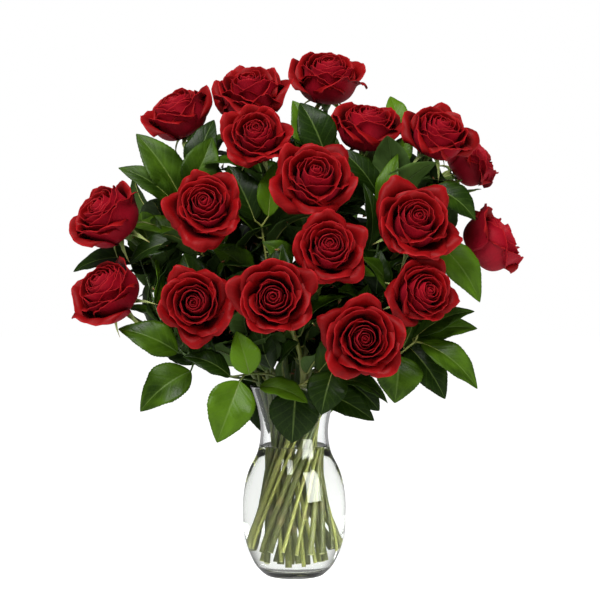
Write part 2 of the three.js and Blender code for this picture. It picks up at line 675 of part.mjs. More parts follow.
ROSES.forEach((rose, i) => {
  const seed = i + 1;
  const axis = vec(rose.faces).normalize();
  const base = vec(rose.head).addScaledVector(axis, -BLOOM_TO_HEAD * rose.size);
  const roll = new THREE.Quaternion().setFromAxisAngle(UP, rad(rose.roll));
  const turn = new THREE.Quaternion().setFromUnitVectors(UP, axis).multiply(roll);
  rose.stand = { ...placeInVase(rose.place, seed), radius: STEM_RADIUS, sides: STEM_SIDES };
  const bloom = meshOf(rose.name + "_petals", bloomSolid(rose, seed), PETAL);
  bloom.position.copy(base);
  bloom.quaternion.copy(turn);
  bouquet.add(bloom, meshOf(rose.name + "_stem", stemSolid(rose, seed, base, turn, axis), STEM));
});

TWIGS.forEach((twig, i) => {
  const seed = 50 + i;
  twig.stand = { ...placeInVase(twig.place, seed), radius: TWIG_RADIUS, sides: TWIG_SIDES };
  bouquet.add(meshOf(twig.name, twigSolid(twig, seed), LEAF));
});

const stands = [...ROSES, ...TWIGS].map((plant) => plant.stand);
bouquet.add(meshOf("vase", vaseSolid(), GLASS), meshOf("water", waterSolid(stands), WATER));

export default bouquet;
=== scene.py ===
"""Eighteen red roses and fourteen twigs of greenery in a clear glass vase of water, in a studio.

Sizes and places are in millimetres and become metres when a mesh is made. +Z is up, -Y is the front,
and the origin is the centre of the vase's flat foot.
"""

import math
from collections import namedtuple

import bpy
import numpy as np
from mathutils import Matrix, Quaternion, Vector


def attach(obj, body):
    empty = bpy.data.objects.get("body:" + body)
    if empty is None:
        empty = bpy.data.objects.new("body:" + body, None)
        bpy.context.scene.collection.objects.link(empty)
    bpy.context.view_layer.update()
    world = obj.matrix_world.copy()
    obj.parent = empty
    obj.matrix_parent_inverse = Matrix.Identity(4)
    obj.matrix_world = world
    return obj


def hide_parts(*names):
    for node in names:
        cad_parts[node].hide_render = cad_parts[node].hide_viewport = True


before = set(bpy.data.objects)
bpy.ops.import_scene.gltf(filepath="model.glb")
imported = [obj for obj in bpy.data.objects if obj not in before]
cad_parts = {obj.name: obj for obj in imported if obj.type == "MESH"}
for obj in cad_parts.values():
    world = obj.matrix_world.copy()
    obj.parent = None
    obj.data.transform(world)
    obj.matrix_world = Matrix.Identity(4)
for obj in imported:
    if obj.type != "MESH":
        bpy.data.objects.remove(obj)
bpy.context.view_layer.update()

MM = 0.001

# ---- driving dimensions, as in the part

VASE_HEIGHT = 200
GLASS_THICKNESS = 3
FLOOR_THICKNESS = 9
WATER_LEVEL = 136
OUTSIDE = [
    (31, 0), (38.5, 7), (46, 20), (52, 38), (54, 60), (53.5, 84),
    (48.5, 108), (38.5, 130), (35.5, 152), (39, 174), (47, VASE_HEIGHT),
]

STEM_RADIUS = 2.8
TWIG_RADIUS = 1.7
HEART_BASE = -1.2
HIP_RADIUS = 5.2
HIP_LENGTH = 11
SEPALS = 5
SEPAL_LENGTH = 26
BLOOM_TO_HEAD = 22  # from a bloom's base to the middle of its head
FAN = 4  # leaves on a plain twig

# The stems stand in three rings and splay towards their feet. Each runs straight from its foot to its
# place at the mouth, and each ring is twisted by its own spiral, in degrees, so that they cross.
MOUTH_PLACE_HEIGHT = 188
Ring = namedtuple("Ring", "mouth foot foot_height step start spiral")
RINGS = {
    "outer": Ring(32, 39, 28, 20, 0, -106),
    "middle": Ring(20, 25, 16, 40, 20, 100),
    "inner": Ring(9, 11, 13, 72, 10, 90),
}

# Each rose: the middle of its head, the way it faces, its roll about that axis in degrees, how far it has
# opened (0 is cupped, 1 is full), its size, and its stem's place in the vase's mouth.
Rose = namedtuple("Rose", "name head faces roll opened size ring number")
# Each twig: its place in the vase's mouth, the points that it passes on its way out, and its leaves as
# (where the blade starts, its tip, its width, the way its upper face looks). A plain twig's leaves follow
# a rule.
Twig = namedtuple("Twig", "name ring number path leaves")
ROSES = [
    Rose("rose_top", (36, 70, 528), (0.05, -0.5, 0.87), 20, 0.4, 1.12, "middle", 2),
    Rose("rose_top_left", (-46, 25, 506), (-0.1, -0.5, 0.86), 75, 0.95, 1.2, "inner", 2),
    Rose("rose_upper_left", (-37, -58, 456), (-0.1, -0.85, 0.5), 140, 0.65, 0.94, "middle", 6),
    Rose("rose_left_shoulder", (-124, 45, 487), (-0.42, -0.35, 0.85), 30, 0.2, 1.05, "middle", 4),
    Rose("rose_top_right", (77, 12, 471), (0.12, -0.4, 0.91), 200, 0.2, 1.02, "inner", 1),
    Rose("rose_right_shoulder", (149, -18, 461), (0.3, -0.65, 0.7), 15, 0.5, 0.99, "middle", 1),
    Rose("rose_right_back", (192, 62, 436), (0.75, -0.1, 0.5), 100, 0.5, 1.0, "outer", 3),
    Rose("rose_centre", (21, -84, 411), (0.08, -0.82, 0.57), 60, 0.9, 1.13, "inner", 4),
    Rose("rose_left_centre", (-87, -95, 385), (-0.05, -0.92, 0.35), 250, 0.8, 1.0, "outer", 11),
    Rose("rose_far_left", (-191, -30, 376), (-0.6, -0.5, 0.62), 170, 0.3, 1.1, "outer", 8),
    Rose("rose_middle", (34, -127, 343), (0.05, -0.92, 0.35), 310, 0.7, 0.93, "middle", 7),
    Rose("rose_right_centre", (120, -85, 368), (0.18, -0.85, 0.45), 125, 0.85, 1.15, "middle", 8),
    Rose("rose_far_right", (209, 15, 350), (0.8, -0.12, 0.55), 45, 0.25, 1.12, "outer", 2),
    Rose("rose_low_far_left", (-190, -45, 299), (-0.52, -0.54, 0.66), 215, 0.0, 1.08, "outer", 9),
    Rose("rose_low_left", (-96, -112, 290), (-0.08, -0.98, 0.12), 330, 0.8, 1.0, "outer", 12),
    Rose("rose_low_centre", (-19, -143, 296), (-0.02, -1, 0.12), 20, 1.0, 1.08, "outer", 14),
    Rose("rose_low_right", (126, -100, 300), (0.45, -0.85, 0.2), 85, 0.6, 0.93, "outer", 17),
    Rose("rose_front_right", (67, -142, 257), (0.05, -1, 0.08), 155, 1.0, 1.08, "outer", 16),
]
FRONT = (0, -0.8, 0.6)
TWIGS = [
    Twig("greenery_low_left", "outer", 13, [(-22, -60, 215), (-40, -86, 219), (-49, -99, 219)], [
        ((-53, -105, 213), (-75, -118, 154), 46, (0.1, -0.95, 0.3)),
        ((-63, -98, 217), (-110, -100, 237), 26, (0, -0.7, 0.7)),
        ((-44, -103, 220), (-57, -99, 262), 30, (0.2, -0.95, 0.2)),
        ((-34, -82, 206), (14, -92, 190), 30, (0, -0.6, 0.8)),
    ]),
    Twig("greenery_left", "outer", 10, [
        (-75, -42, 215), (-110, -50, 234), (-138, -26, 270), (-154, -12, 314),
    ], [
        ((-104, -70, 220), (-154, -78, 180), 42, (-0.2, -0.9, 0.4)),
        ((-118, -58, 238), (-178, -60, 262), 36, (-0.2, -0.8, 0.6)),
        ((-145, -21, 284), (-152, -14, 342), 20, (0.9, -0.4, 0.2)),
        ((-163, 10, 332), (-236, 27, 318), 34, (0, -0.7, 0.7)),
    ]),
    Twig("greenery_upper_left", "middle", 5, [(-60, -12, 280), (-100, -8, 345), (-116, -10, 390)], [
        ((-118, -12, 396), (-164, -14, 462), 42, (0.3, -0.9, 0.3)),
        ((-126, -20, 392), (-181, -28, 426), 28, (-0.2, -0.8, 0.6)),
        ((-109, -15, 403), (-85, -10, 459), 38, (0.3, -0.9, 0.3)),
        ((-120, -20, 350), (-172, -14, 326), 30, (0, -0.7, 0.7)),
        ((-116, 4, 360), (-170, 20, 366), 26, (0, -0.8, 0.6)),
    ]),
    Twig("greenery_centre", "inner", 3, [(-25, -14, 255), (-27, -45, 318), (-33, -46, 366)], [
        ((-40, -50, 372), (-68, -38, 428), 36, FRONT),
        ((-26, -48, 376), (-20, -36, 430), 26, FRONT),
        ((-42, -50, 316), (-84, -55, 346), 32, FRONT),
        ((-4, -60, 324), (-32, -74, 350), 28, FRONT),
    ]),
    Twig("greenery_top", "inner", 0, [(14, -8, 290), (28, -14, 380), (32, -18, 432)], [
        ((32, -20, 440), (6, -14, 494), 40, (0.1, -0.95, 0.3)),
        ((34, -10, 420), (37, 6, 468), 28, FRONT),
        ((22, -4, 388), (-24, 10, 422), 32, FRONT),
    ]),
    Twig("greenery_upper_right", "middle", 0, [
        (60, -36, 258), (80, -46, 316), (90, -40, 372), (108, -4, 424), (115, 26, 462),
    ], [
        ((93, -48, 376), (106, -40, 440), 24, (-0.4, -0.9, 0.2)),
        ((75, -50, 342), (70, -48, 410), 22, (0.6, -0.8, 0.1)),
        ((108, 0, 432), (121, -2, 462), 24, FRONT),
        ((114, 44, 468), (104, 64, 508), 24, FRONT),
        ((83, -58, 298), (87, -63, 342), 28, FRONT),
        ((70, -50, 292), (44, -72, 300), 26, (0, -0.6, 0.8)),
    ]),
    Twig("greenery_right", "outer", 1, [(80, -20, 265), (128, -28, 335), (140, -26, 395)], [
        ((142, -28, 405), (186, -34, 372), 34, FRONT),
        ((146, -34, 350), (190, -42, 288), 38, (0.2, -0.9, 0.4)),
        ((120, -10, 340), (150, 30, 380), 30, (0, -0.5, 0.9)),
    ]),
    Twig("greenery_low_right", "outer", 0, [(70, -50, 216), (104, -68, 236), (122, -70, 250)], [
        ((124, -72, 256), (182, -66, 280), 26, (0, -0.7, 0.7)),
        ((128, -78, 249), (182, -92, 204), 32, (0.1, -0.8, 0.6)),
        ((104, -80, 236), (100, -92, 190), 48, (0.1, -0.95, 0.3)),
    ]),
    Twig("greenery_front", "outer", 15, [(8, -62, 206), (20, -78, 214), (34, -88, 220)], [
        ((2, -72, 204), (-2, -66, 147), 50, (0, -1, 0.15)),
        ((38, -98, 222), (27, -106, 180), 40, (-0.1, -0.95, 0.3)),
        ((30, -82, 200), (80, -88, 172), 30, (0, -0.85, 0.5)),
        ((40, -80, 212), (94, -76, 188), 26, (0, -0.5, 0.85)),
    ]),
    Twig("greenery_back_left", "outer", 7, [(-70, 35, 240), (-115, 55, 300), (-140, 65, 365)], None),
    Twig("greenery_back_low", "outer", 6, [(-32, 72, 225), (-50, 110, 262), (-60, 128, 310)], None),
    Twig("greenery_back", "outer", 5, [(28, 66, 235), (40, 100, 290), (44, 112, 350)], None),
    Twig("greenery_back_right", "outer", 4, [(66, 52, 232), (112, 70, 290), (138, 78, 350)], None),
    Twig("greenery_back_top", "middle", 3, [(-14, 38, 300), (-21, 62, 380), (-25, 75, 440)], None),
]

# ---- numbers and curves


def draw(seed, number):
    """A repeatable draw from 0 to 1 for a thing's seed and number."""
    s = math.sin(seed * 12.9898 + number * 78.233) * 43758.5453
    return s - math.floor(s)


def smooth(start, end, x):
    t = np.clip((x - start) / (end - start), 0, 1)
    return t * t * (3 - 2 * t)


def unit(vector):
    return np.asarray(vector, float) / np.linalg.norm(vector)


def polar(radius, degrees, height):
    turn = math.radians(degrees)
    return np.array([radius * math.cos(turn), radius * math.sin(turn), height])


def spline_point(points, t):
    """A point of the centripetal spline through points, for t from 0 to 1."""
    place = t * (len(points) - 1)
    i = min(int(place), len(points) - 2)
    before = points[i - 1] if i else 2 * points[0] - points[1]
    after = points[i + 2] if i + 2 < len(points) else 2 * points[-1] - points[-2]
    p = [before, points[i], points[i + 1], after]
    d0, d1, d2 = (np.linalg.norm(p[k + 1] - p[k]) ** 0.5 for k in range(3))
    start = ((p[1] - p[0]) / d0 - (p[2] - p[0]) / (d0 + d1) + (p[2] - p[1]) / d1) * d1
    end = ((p[2] - p[1]) / d1 - (p[3] - p[1]) / (d1 + d2) + (p[3] - p[2]) / d2) * d1
    w = place - i
    bend = -3 * p[1] + 3 * p[2] - 2 * start - end
    return p[1] + w * start + w * w * bend + w**3 * (2 * p[1] - 2 * p[2] + start + end)


def spline(points, count):
    return np.array([spline_point(points, k / count) for k in range(count + 1)])


def nearest(points, target):
    return points[np.argmin(np.linalg.norm(points - target, axis=1))]


def walked_along(points):
    """The distance from the first point of a path to each of its points."""
    return np.concatenate([[0], np.cumsum(np.linalg.norm(np.diff(points, axis=0), axis=1))])


# ---- meshes


def placed(name, data):
    """A new object in the scene."""
    thing = bpy.data.objects.new(name, data)
    bpy.context.scene.collection.objects.link(thing)
    return thing


class Skin:
    """Points, faces and point values that gather into one mesh."""

    def __init__(self):
        self.points = []
        self.faces = []
        self.values = {}
        self.count = 0

    def add(self, points, faces, **values):
        """Adds points (millimetres) and faces that number them from 0, with a value for each point."""
        points = np.asarray(points, float).reshape(-1, 3)
        self.points.append(points)
        self.faces += [tuple(self.count + corner for corner in face) for face in faces]
        self.count += len(points)
        for name, value in values.items():
            spread = np.broadcast_to(np.asarray(value, float), (len(points),) + np.shape(value)[1:])
            self.values.setdefault(name, []).append(spread)

    def piece(self, name, material):
        mesh = bpy.data.meshes.new(name)
        mesh.from_pydata((np.concatenate(self.points) * MM).tolist(), [], self.faces)
        for key, parts in self.values.items():
            flat = np.concatenate(parts)
            if key == "uv":
                corners = np.empty(len(mesh.loops), int)
                mesh.loops.foreach_get("vertex_index", corners)
                mesh.uv_layers.new(name="UVMap").uv.foreach_set("vector", flat[corners].ravel())
            else:
                mesh.attributes.new(key, "FLOAT", "POINT").data.foreach_set("value", flat)
        mesh.polygons.foreach_set("use_smooth", [True] * len(mesh.polygons))
        mesh.validate()
        mesh.materials.append(material)
        return placed(name, mesh)


def normals(grid):
    """The direction square to a grid of points, grid[across, along], at each of its points."""
    normal = np.cross(np.gradient(grid, axis=0), np.gradient(grid, axis=1))
    return normal / np.maximum(np.linalg.norm(normal, axis=-1, keepdims=True), 1e-9)


def shell(grid, thickness):
    """The points and faces of a thin closed shell about a grid of points, whose faces look outwards."""
    across, along, _ = grid.shape
    normal = normals(grid)
    top = grid + normal * thickness / 2
    bottom = grid - normal * thickness / 2
    number = np.arange(across * along).reshape(across, along)
    a, b, c, d = number[:-1, :-1], number[1:, :-1], number[1:, 1:], number[:-1, 1:]
    faces = np.stack([a, b, c, d], -1).reshape(-1, 4).tolist()
    faces += (np.stack([a, d, c, b], -1).reshape(-1, 4) + across * along).tolist()
    for edge in (number[:, 0], number[::-1, -1], number[0, ::-1], number[-1]):
        rim = edge + across * along
        faces += np.stack([edge[:-1], rim[:-1], rim[1:], edge[1:]], -1).tolist()
    return np.concatenate([top.reshape(-1, 3), bottom.reshape(-1, 3)]), faces


def turned(profile, sides):
    """The points and faces of a solid turned about Z from a profile of (radius, height)."""
    radius, height = np.array(profile[1:-1], float).T
    turn = np.arange(sides) * math.tau / sides
    across, deep, up = np.cos(turn), np.sin(turn), np.ones(sides)
    rings = np.stack([np.outer(radius, across), np.outer(radius, deep), np.outer(height, up)], -1)
    points = np.concatenate([[[0, 0, profile[0][1]]], rings.reshape(-1, 3), [[0, 0, profile[-1][1]]]])
    number = 1 + np.arange(len(radius) * sides).reshape(-1, sides)
    beside = np.roll(number, -1, axis=1)
    faces = np.stack([number[:-1], beside[:-1], beside[1:], number[1:]], -1).reshape(-1, 4).tolist()
    last = len(points) - 1
    faces += [(0, b, a) for a, b in zip(number[0].tolist(), beside[0].tolist())]
    faces += [(last, a, b) for a, b in zip(number[-1].tolist(), beside[-1].tolist())]
    return points, faces


# ---- node trees as expressions


def operator(operation, swapped=False):
    """A Python operator between a socket and a socket or number, which adds a Math node."""

    def apply(self, other):
        values = (other, self) if swapped else (self, other)
        return self.graph.maths(operation, *values)

    return apply


class Socket:
    """An output of a node, for use in Python expressions."""

    def __init__(self, graph, output):
        self.graph = graph
        self.output = output

    def __abs__(self):
        return self.graph.maths("ABSOLUTE", self)

    __add__ = __radd__ = operator("ADD")
    __mul__ = __rmul__ = operator("MULTIPLY")
    __sub__ = operator("SUBTRACT")
    __rsub__ = operator("SUBTRACT", swapped=True)
    __truediv__ = operator("DIVIDE")
    __pow__ = operator("POWER")
    __gt__ = operator("GREATER_THAN")


class Graph:
    """A node tree that Python fills."""

    def __init__(self, tree):
        self.tree = tree

    def add(self, kind, settings=None, values=None, output=0):
        """Any node, by its type, its settings and the values or links of its sockets."""
        node = self.tree.nodes.new(kind)
        for key, setting in (settings or {}).items():
            setattr(node, key, setting)
        for key, value in (values or {}).items():
            socket = node.inputs[key]
            if isinstance(value, Socket):
                self.tree.links.new(value.output, socket)
            elif socket.type == "RGBA":
                socket.default_value = (*value, 1)
            else:
                socket.default_value = value
        return Socket(self, node.outputs[output]) if node.outputs else node

    def maths(self, operation, *values):
        return self.add("ShaderNodeMath", {"operation": operation}, dict(enumerate(values)))

    def attributes(self, *names):
        return [self.add("ShaderNodeAttribute", {"attribute_name": name}, output="Fac") for name in names]

    def light_path(self, name):
        return self.add("ShaderNodeLightPath", output=name)

    def place(self):
        """Where on the piece a point is, in metres."""
        return self.add("ShaderNodeTexCoord", output="Object")

    def axis(self, vector, number):
        """The x, y or z of a vector, numbered from 0."""
        return self.add("ShaderNodeSeparateXYZ", values={0: vector}, output=number)

    def uv(self):
        """The two coordinates of the piece's own UV map."""
        flat = self.add("ShaderNodeUVMap", {"uv_map": "UVMap"})
        return self.axis(flat, 0), self.axis(flat, 1)

    def point(self, x, y, z=0.0):
        return self.add("ShaderNodeCombineXYZ", values={0: x, 1: y, 2: z})

    def noise(self, place, scale, detail=2.0, roughness=0.5):
        values = {"Vector": place, "Scale": scale, "Detail": detail, "Roughness": roughness}
        return self.add("ShaderNodeTexNoise", values=values)

    def between(self, x, start, end, low=0.0, high=1.0):
        """A smooth step of x from low at start to high at end."""
        values = {"Value": x, "From Min": start, "From Max": end, "To Min": low, "To Max": high}
        return self.add("ShaderNodeMapRange", {"interpolation_type": "SMOOTHSTEP"}, values)

    def layered(self, colour, *layers):
        """A colour under layers of (how much of it shows, its colour)."""
        for share, tint in layers:
            values = {0: share, 6: colour, 7: tint}
            colour = self.add("ShaderNodeMix", {"data_type": "RGBA"}, values, output=2)
        return colour

    def bump(self, height, distance, strength):
        values = {"Height": height, "Distance": distance * MM, "Strength": strength}
        return self.add("ShaderNodeBump", values=values)


def empty_graph(thing):
    """The emptied node tree of a material or a world."""
    thing.use_nodes = True
    thing.node_tree.nodes.clear()
    return Graph(thing.node_tree)


def finish(name, fill, **constants):
    """A material: fill(graph) gives the sockets that vary over the surface, constants sets the others."""
    material = bpy.data.materials.new(name)
    graph = empty_graph(material)
    values = {key.replace("_", " "): value for key, value in constants.items()} | fill(graph)
    surface = graph.add("ShaderNodeBsdfPrincipled", values=values)
    graph.add("ShaderNodeOutputMaterial", values={"Surface": surface})
    return material


# ---- finishes


def side_veins(across, side, along):
    """The count of a leaf's side veins from its base to a point, on arrays or on sockets."""
    return along * 6.5 - side**0.85 * 1.9 + 0.25 * (across > 0)


def petal_finish(graph):
    across, along = graph.uv()
    ring, tone, back = graph.attributes("ring", "tone", "back")
    veins = graph.noise(graph.point(across * 34, along * 2.2, tone * 40), 1.0, 3.0, 0.6)
    blotch = graph.noise(graph.point(across * 3, along * 3, tone * 60), 1.0, 2.0)
    # A lighter band along each petal's rim, stronger on the outer petals: a painted highlight where the
    # curled edges catch the light.
    rim = graph.between(along, 0.88, 1.0) * graph.between(ring, 0.1, 0.9, 0.25, 0.7)
    colour = graph.layered(
        # near-black at each petal's base, turning to the velvet red further out: painted shade deep in the
        # bloom's heart
        (0.035, 0.0003, 0.0006),
        (graph.between(along, 0.2, 0.85), (0.19, 0.0012, 0.002)),
        (graph.between(blotch, 0.35, 0.7, 0, 0.5), (0.1, 0.0008, 0.0012)),
        (graph.between(veins, 0.45, 0.7, 0, 0.3), (0.24, 0.004, 0.005)),
        (back * 0.6, (0.31, 0.005, 0.018)),
        (rim, (0.36, 0.008, 0.011)),
    )
    bump = graph.bump(veins + blotch * 1.5, 0.3, 0.7)
    return {"Base Color": colour, "Roughness": graph.between(blotch, 0.3, 0.7, 0.46, 0.6), "Normal": bump}


def leaf_finish(graph):
    across, along = graph.uv()
    tone, back = graph.attributes("tone", "back")
    side = abs(across)
    wave = graph.maths("PINGPONG", side_veins(across, side, along), 0.5)
    vein = graph.between(wave, 0.0, 0.13, 1.0, 0.0)
    net = graph.add(
        "ShaderNodeTexVoronoi",
        {"feature": "DISTANCE_TO_EDGE"},
        {"Vector": graph.point(across * 7, along * 22, tone * 9), "Scale": 1.0},
    )
    fine_vein = graph.between(net, 0.0, 0.12, 1.0, 0.0)
    rib = graph.between(side, 0.015, 0.07, 1.0, 0.0)
    blotch = graph.noise(graph.point(across * 1.2, along * 2.4, tone * 30), 1.0, 3.0)
    colour = graph.layered(
        (0.006, 0.017, 0.0006),
        (graph.between(tone + blotch * 0.7, 0.65, 1.35), (0.068, 0.145, 0.004)),
        (fine_vein * 0.1, (0.045, 0.09, 0.01)),
        (vein * 0.12, (0.065, 0.12, 0.015)),
        (rib * 0.4, (0.12, 0.19, 0.04)),
        (back * 0.6, (0.06, 0.11, 0.025)),
    )
    relief = graph.between(wave, 0.0, 0.3) - rib * 0.8 - fine_vein * 0.25
    roughness = graph.between(blotch, 0.3, 0.7, 0.32, 0.45) + back * 0.2
    return {"Base Color": colour, "Roughness": roughness, "Normal": graph.bump(relief, 0.35, 0.4)}


def stalk_finish(graph):
    place = graph.place()
    tone, thorn, knot, cut = graph.attributes("tone", "thorn", "knot", "cut")
    dry = graph.between(graph.axis(place, 2), 0.1, 0.2)
    mottle, fleck = graph.noise(place, 90.0, 3.0), graph.noise(place, 700.0, 1.0)
    colour = graph.layered(
        (0.06, 0.072, 0.01),
        (dry, (0.045, 0.085, 0.015)),
        (graph.between(mottle * 0.5 + tone, 0.5, 1.25), (0.22, 0.24, 0.05)),
        (graph.between(fleck, 0.62, 0.75, 0, 0.5), (0.05, 0.04, 0.015)),
        (knot * 0.6, (0.17, 0.13, 0.05)),
        (graph.between(thorn, 0.05, 0.8), (0.22, 0.05, 0.025)),
        (cut, (0.42, 0.44, 0.2)),
    )
    bump = graph.bump(mottle + fleck, 0.2, 0.4)
    return {"Base Color": colour, "Roughness": 0.36 + mottle * 0.2, "Normal": bump}


def calyx_finish(graph):
    along, side = graph.attributes("along", "side")
    mottle = graph.noise(graph.place(), 260.0, 3.0)
    dry_tip = graph.between(along, 0.8, 1.0, 0, 0.5)
    colour = graph.layered(
        (0.12, 0.2, 0.035),
        (graph.between(along, 0.0, 0.9), (0.34, 0.42, 0.12)),
        (graph.between(side, 0.55, 1.0, 0, 0.6), (0.34, 0.36, 0.14)),
        (graph.between(mottle, 0.5, 0.8, 0, 0.5), (0.08, 0.15, 0.03)),
        (dry_tip, (0.3, 0.14, 0.06)),
    )
    bump = graph.bump(mottle, 0.15, 0.5)
    return {"Base Color": colour, "Roughness": 0.45 + mottle * 0.15, "Normal": bump}


def rippled(scale, distance, strength):
    """What fills a clear finish: its surface is a little uneven."""

    def fill(graph):
        return {"Normal": graph.bump(graph.noise(graph.place(), scale, 1.0), distance, strength)}

    return fill


def floor_finish(graph):
    """White with a faint grain, and dark in mirrored views so that the glass stays clear."""
    mirrored = (graph.light_path("Glossy Depth") > 0.5) * 0.7
    grain, black = graph.noise(graph.place(), 3.0, 2.0), (0, 0, 0)
    colour = graph.layered((0.52, 0.52, 0.52), (grain, (0.55, 0.55, 0.55)), (mirrored, black))
    return {"Base Color": colour, "Emission Color": graph.layered((1, 1, 1), (mirrored, black))}


PETAL = finish(
    "rose_petal", petal_finish,
    Specular_IOR_Level=0.1, Sheen_Weight=0.07, Sheen_Roughness=0.4, Sheen_Tint=(1, 0.12, 0.16),
)
LEAF = finish("leathery_leaf", leaf_finish, Specular_IOR_Level=0.14)
STALK = finish("green_stalk", stalk_finish)
CALYX = finish("rose_calyx", calyx_finish)
CLEAR = {"Roughness": 0.0, "Transmission_Weight": 1.0}
GLASS = finish(
    "clear_glass", rippled(26.0, 0.5, 0.12),
    Base_Color=(0.985, 0.995, 0.99), Specular_Tint=(0.5, 0.51, 0.48), IOR=1.5, **CLEAR,
)
WATER = finish(
    "clear_water", rippled(40.0, 0.3, 0.1),
    Base_Color=(0.99, 0.995, 0.97), Specular_Tint=(0.45, 0.47, 0.42), IOR=1.333, **CLEAR,
)
FLOOR = finish("pale_floor", floor_finish, Roughness=0.8, Emission_Strength=0.85)

# ---- camera, light and floor

CAMERA_PLACE = (6, -1600, 350)
CAMERA_AIM = (6, 0, 289)
LAMP_AIM = (0, 0, 330)
PICTURE_WIDTH = 630  # millimetres across the picture at the vase
SENSOR_WIDTH = 36
FLOOR_SIDE = 8000
CLEAR_THINGS = bpy.data.collections.new("clear_things")  # the window is mirrored in these alone


def point_at(thing, place, aim):
    thing.location = Vector(place) * MM
    thing.rotation_euler = (Vector(aim) - Vector(place)).to_track_quat("-Z", "Y").to_euler()


def add_camera():
    lens = bpy.data.cameras.new("camera")
    lens.sensor_width = SENSOR_WIDTH
    lens.lens = SENSOR_WIDTH * math.dist(CAMERA_PLACE, CAMERA_AIM) / PICTURE_WIDTH
    camera = placed("camera", lens)
    point_at(camera, CAMERA_PLACE, CAMERA_AIM)
    bpy.context.scene.camera = camera


def add_softbox(name, place, width, height, watts):
    lamp = bpy.data.lights.new(name, "AREA")
    lamp.shape = "RECTANGLE"
    lamp.size = width * MM
    lamp.size_y = height * MM
    lamp.energy = watts
    softbox = placed(name, lamp)
    point_at(softbox, place, LAMP_AIM)
    return softbox


def add_studio():
    """Softboxes in a white surround: full white behind the glass, greyer at the sides, which draws the
    edges of clear glass, and dimmer as light and for rays that have met a stem or a mirroring surface."""
    bpy.context.scene.world = bpy.data.worlds.new("studio")
    graph = empty_graph(bpy.context.scene.world)
    sideways = graph.axis(graph.add("ShaderNodeTexCoord", output="Generated"), 0)
    through_glass = graph.between(abs(sideways), 0.35, 0.75, 1.0, 0.35)
    as_light = 0.3 - 0.2 * graph.light_path("Is Glossy Ray")
    met_stem = graph.light_path("Diffuse Depth") > 0.5
    mirrored = graph.light_path("Glossy Depth") > 0.5
    straight = graph.light_path("Is Transmission Ray") * (1 - met_stem) * (1 - 0.75 * mirrored)
    seen = graph.light_path("Is Camera Ray")
    level = seen + (1 - seen) * (straight * through_glass + (1 - straight) * as_light)
    white = graph.add("ShaderNodeBackground", values={"Color": (1, 1, 1), "Strength": level})
    graph.add("ShaderNodeOutputWorld", values={"Surface": white})
    add_softbox("key", (-400, -900, 1400), width=800, height=800, watts=30)
    fill = add_softbox("fill", (950, -700, 500), width=700, height=700, watts=5)
    fill.visible_glossy = False
    window = add_softbox("window", (825, -797, 780), width=800, height=1400, watts=55)
    window.light_linking.receiver_collection = CLEAR_THINGS


def add_floor():
    half = FLOOR_SIDE / 2
    corners = [(-half, -half, 0), (half, -half, 0), (half, half, 0), (-half, half, 0)]
    sheet = Skin()
    sheet.add(corners, [(0, 1, 2, 3)])
    sheet.piece("floor", FLOOR)


# ---- vase and water

VASE_SIDES = 120
WALL_STEPS = 90
WATER_STEPS = 60
OVERLAP = 0.12  # how far the water reaches into the glass, so that no air is left between them
FLOOR_CURVE = (13, 8)  # how far the inside's rounded bottom edge reaches in from the wall, and up


def outside_radius(height):
    """The smooth outline through the vase's measured radii."""
    radii, heights = (np.array(side, float) for side in zip(*OUTSIDE))
    slope = np.gradient(radii, heights)
    slope[0] *= 1.2
    i = int(np.clip(np.searchsorted(heights, height) - 1, 0, len(heights) - 2))
    step = heights[i + 1] - heights[i]
    t = (height - heights[i]) / step
    start = (2 * t**3 - 3 * t**2 + 1) * radii[i] + (t**3 - 2 * t**2 + t) * step * slope[i]
    return start + (3 * t**2 - 2 * t**3) * radii[i + 1] + (t**3 - t**2) * step * slope[i + 1]


def inside_line(low, high, steps, grow=0.0):
    """The inside's wall as (radius, height), grown out into the glass."""
    return [(outside_radius(z) - GLASS_THICKNESS + grow, z) for z in np.linspace(low, high, steps)]


def floor_line(depth, grow=0.0):
    """The inside's rounded bottom, from its middle out to the wall."""
    reach, rise = FLOOR_CURVE
    inner = outside_radius(depth + rise) - GLASS_THICKNESS + grow - reach
    turn = np.linspace(0, math.pi / 2, 12)
    curve = [(inner + reach * math.sin(t), depth + rise - rise * math.cos(t)) for t in turn]
    return [(0, depth), (inner * 0.5, depth)] + curve


def vase_profile():
    lip = GLASS_THICKNESS / 2
    foot = [(0, 1.4), (24, 1.2), (28.5, 0.4), (30, 0), (31.5, 0.3)]
    outer = [(outside_radius(z), z) for z in np.linspace(1.2, VASE_HEIGHT - lip, WALL_STEPS)]
    centre = outer[-1][0] - lip
    turn = np.linspace(0.25, math.pi - 0.25, 7)
    rim = [(centre + lip * math.cos(t), VASE_HEIGHT - lip + lip * math.sin(t)) for t in turn]
    wall = inside_line(FLOOR_THICKNESS + 9, VASE_HEIGHT - lip, WALL_STEPS)[::-1]
    return foot + outer + rim + wall + floor_line(FLOOR_THICKNESS)[::-1]


def water_profile():
    """The body of water, whose surface rises where it meets the glass."""
    wall = inside_line(FLOOR_THICKNESS + 9, WATER_LEVEL - 0.6, WATER_STEPS, OVERLAP)
    edge = wall[-1][0]
    curve = [(edge, 1.0), (edge - 0.5, 0.45), (edge - 1.3, 0.12), (edge - 2.6, 0), (edge * 0.6, 0), (0, 0)]
    surface = [(radius, WATER_LEVEL + rise) for radius, rise in curve]
    return floor_line(FLOOR_THICKNESS - OVERLAP, OVERLAP) + wall + surface


def settle(piece, slot, *nodes):
    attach(piece, "root")
    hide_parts(*nodes)


def add_vase():
    for name, profile, material, node, slot in (
        ("glass_vase", vase_profile(), GLASS, "vase", "vase_glass"),
        ("vase_water", water_profile(), WATER, "water", "water"),
    ):
        body = Skin()
        body.add(*turned(profile, VASE_SIDES))
        piece = body.piece(name, material)
        piece.visible_shadow = False
        CLEAR_THINGS.objects.link(piece)
        settle(piece, slot, node)


# ---- stalks

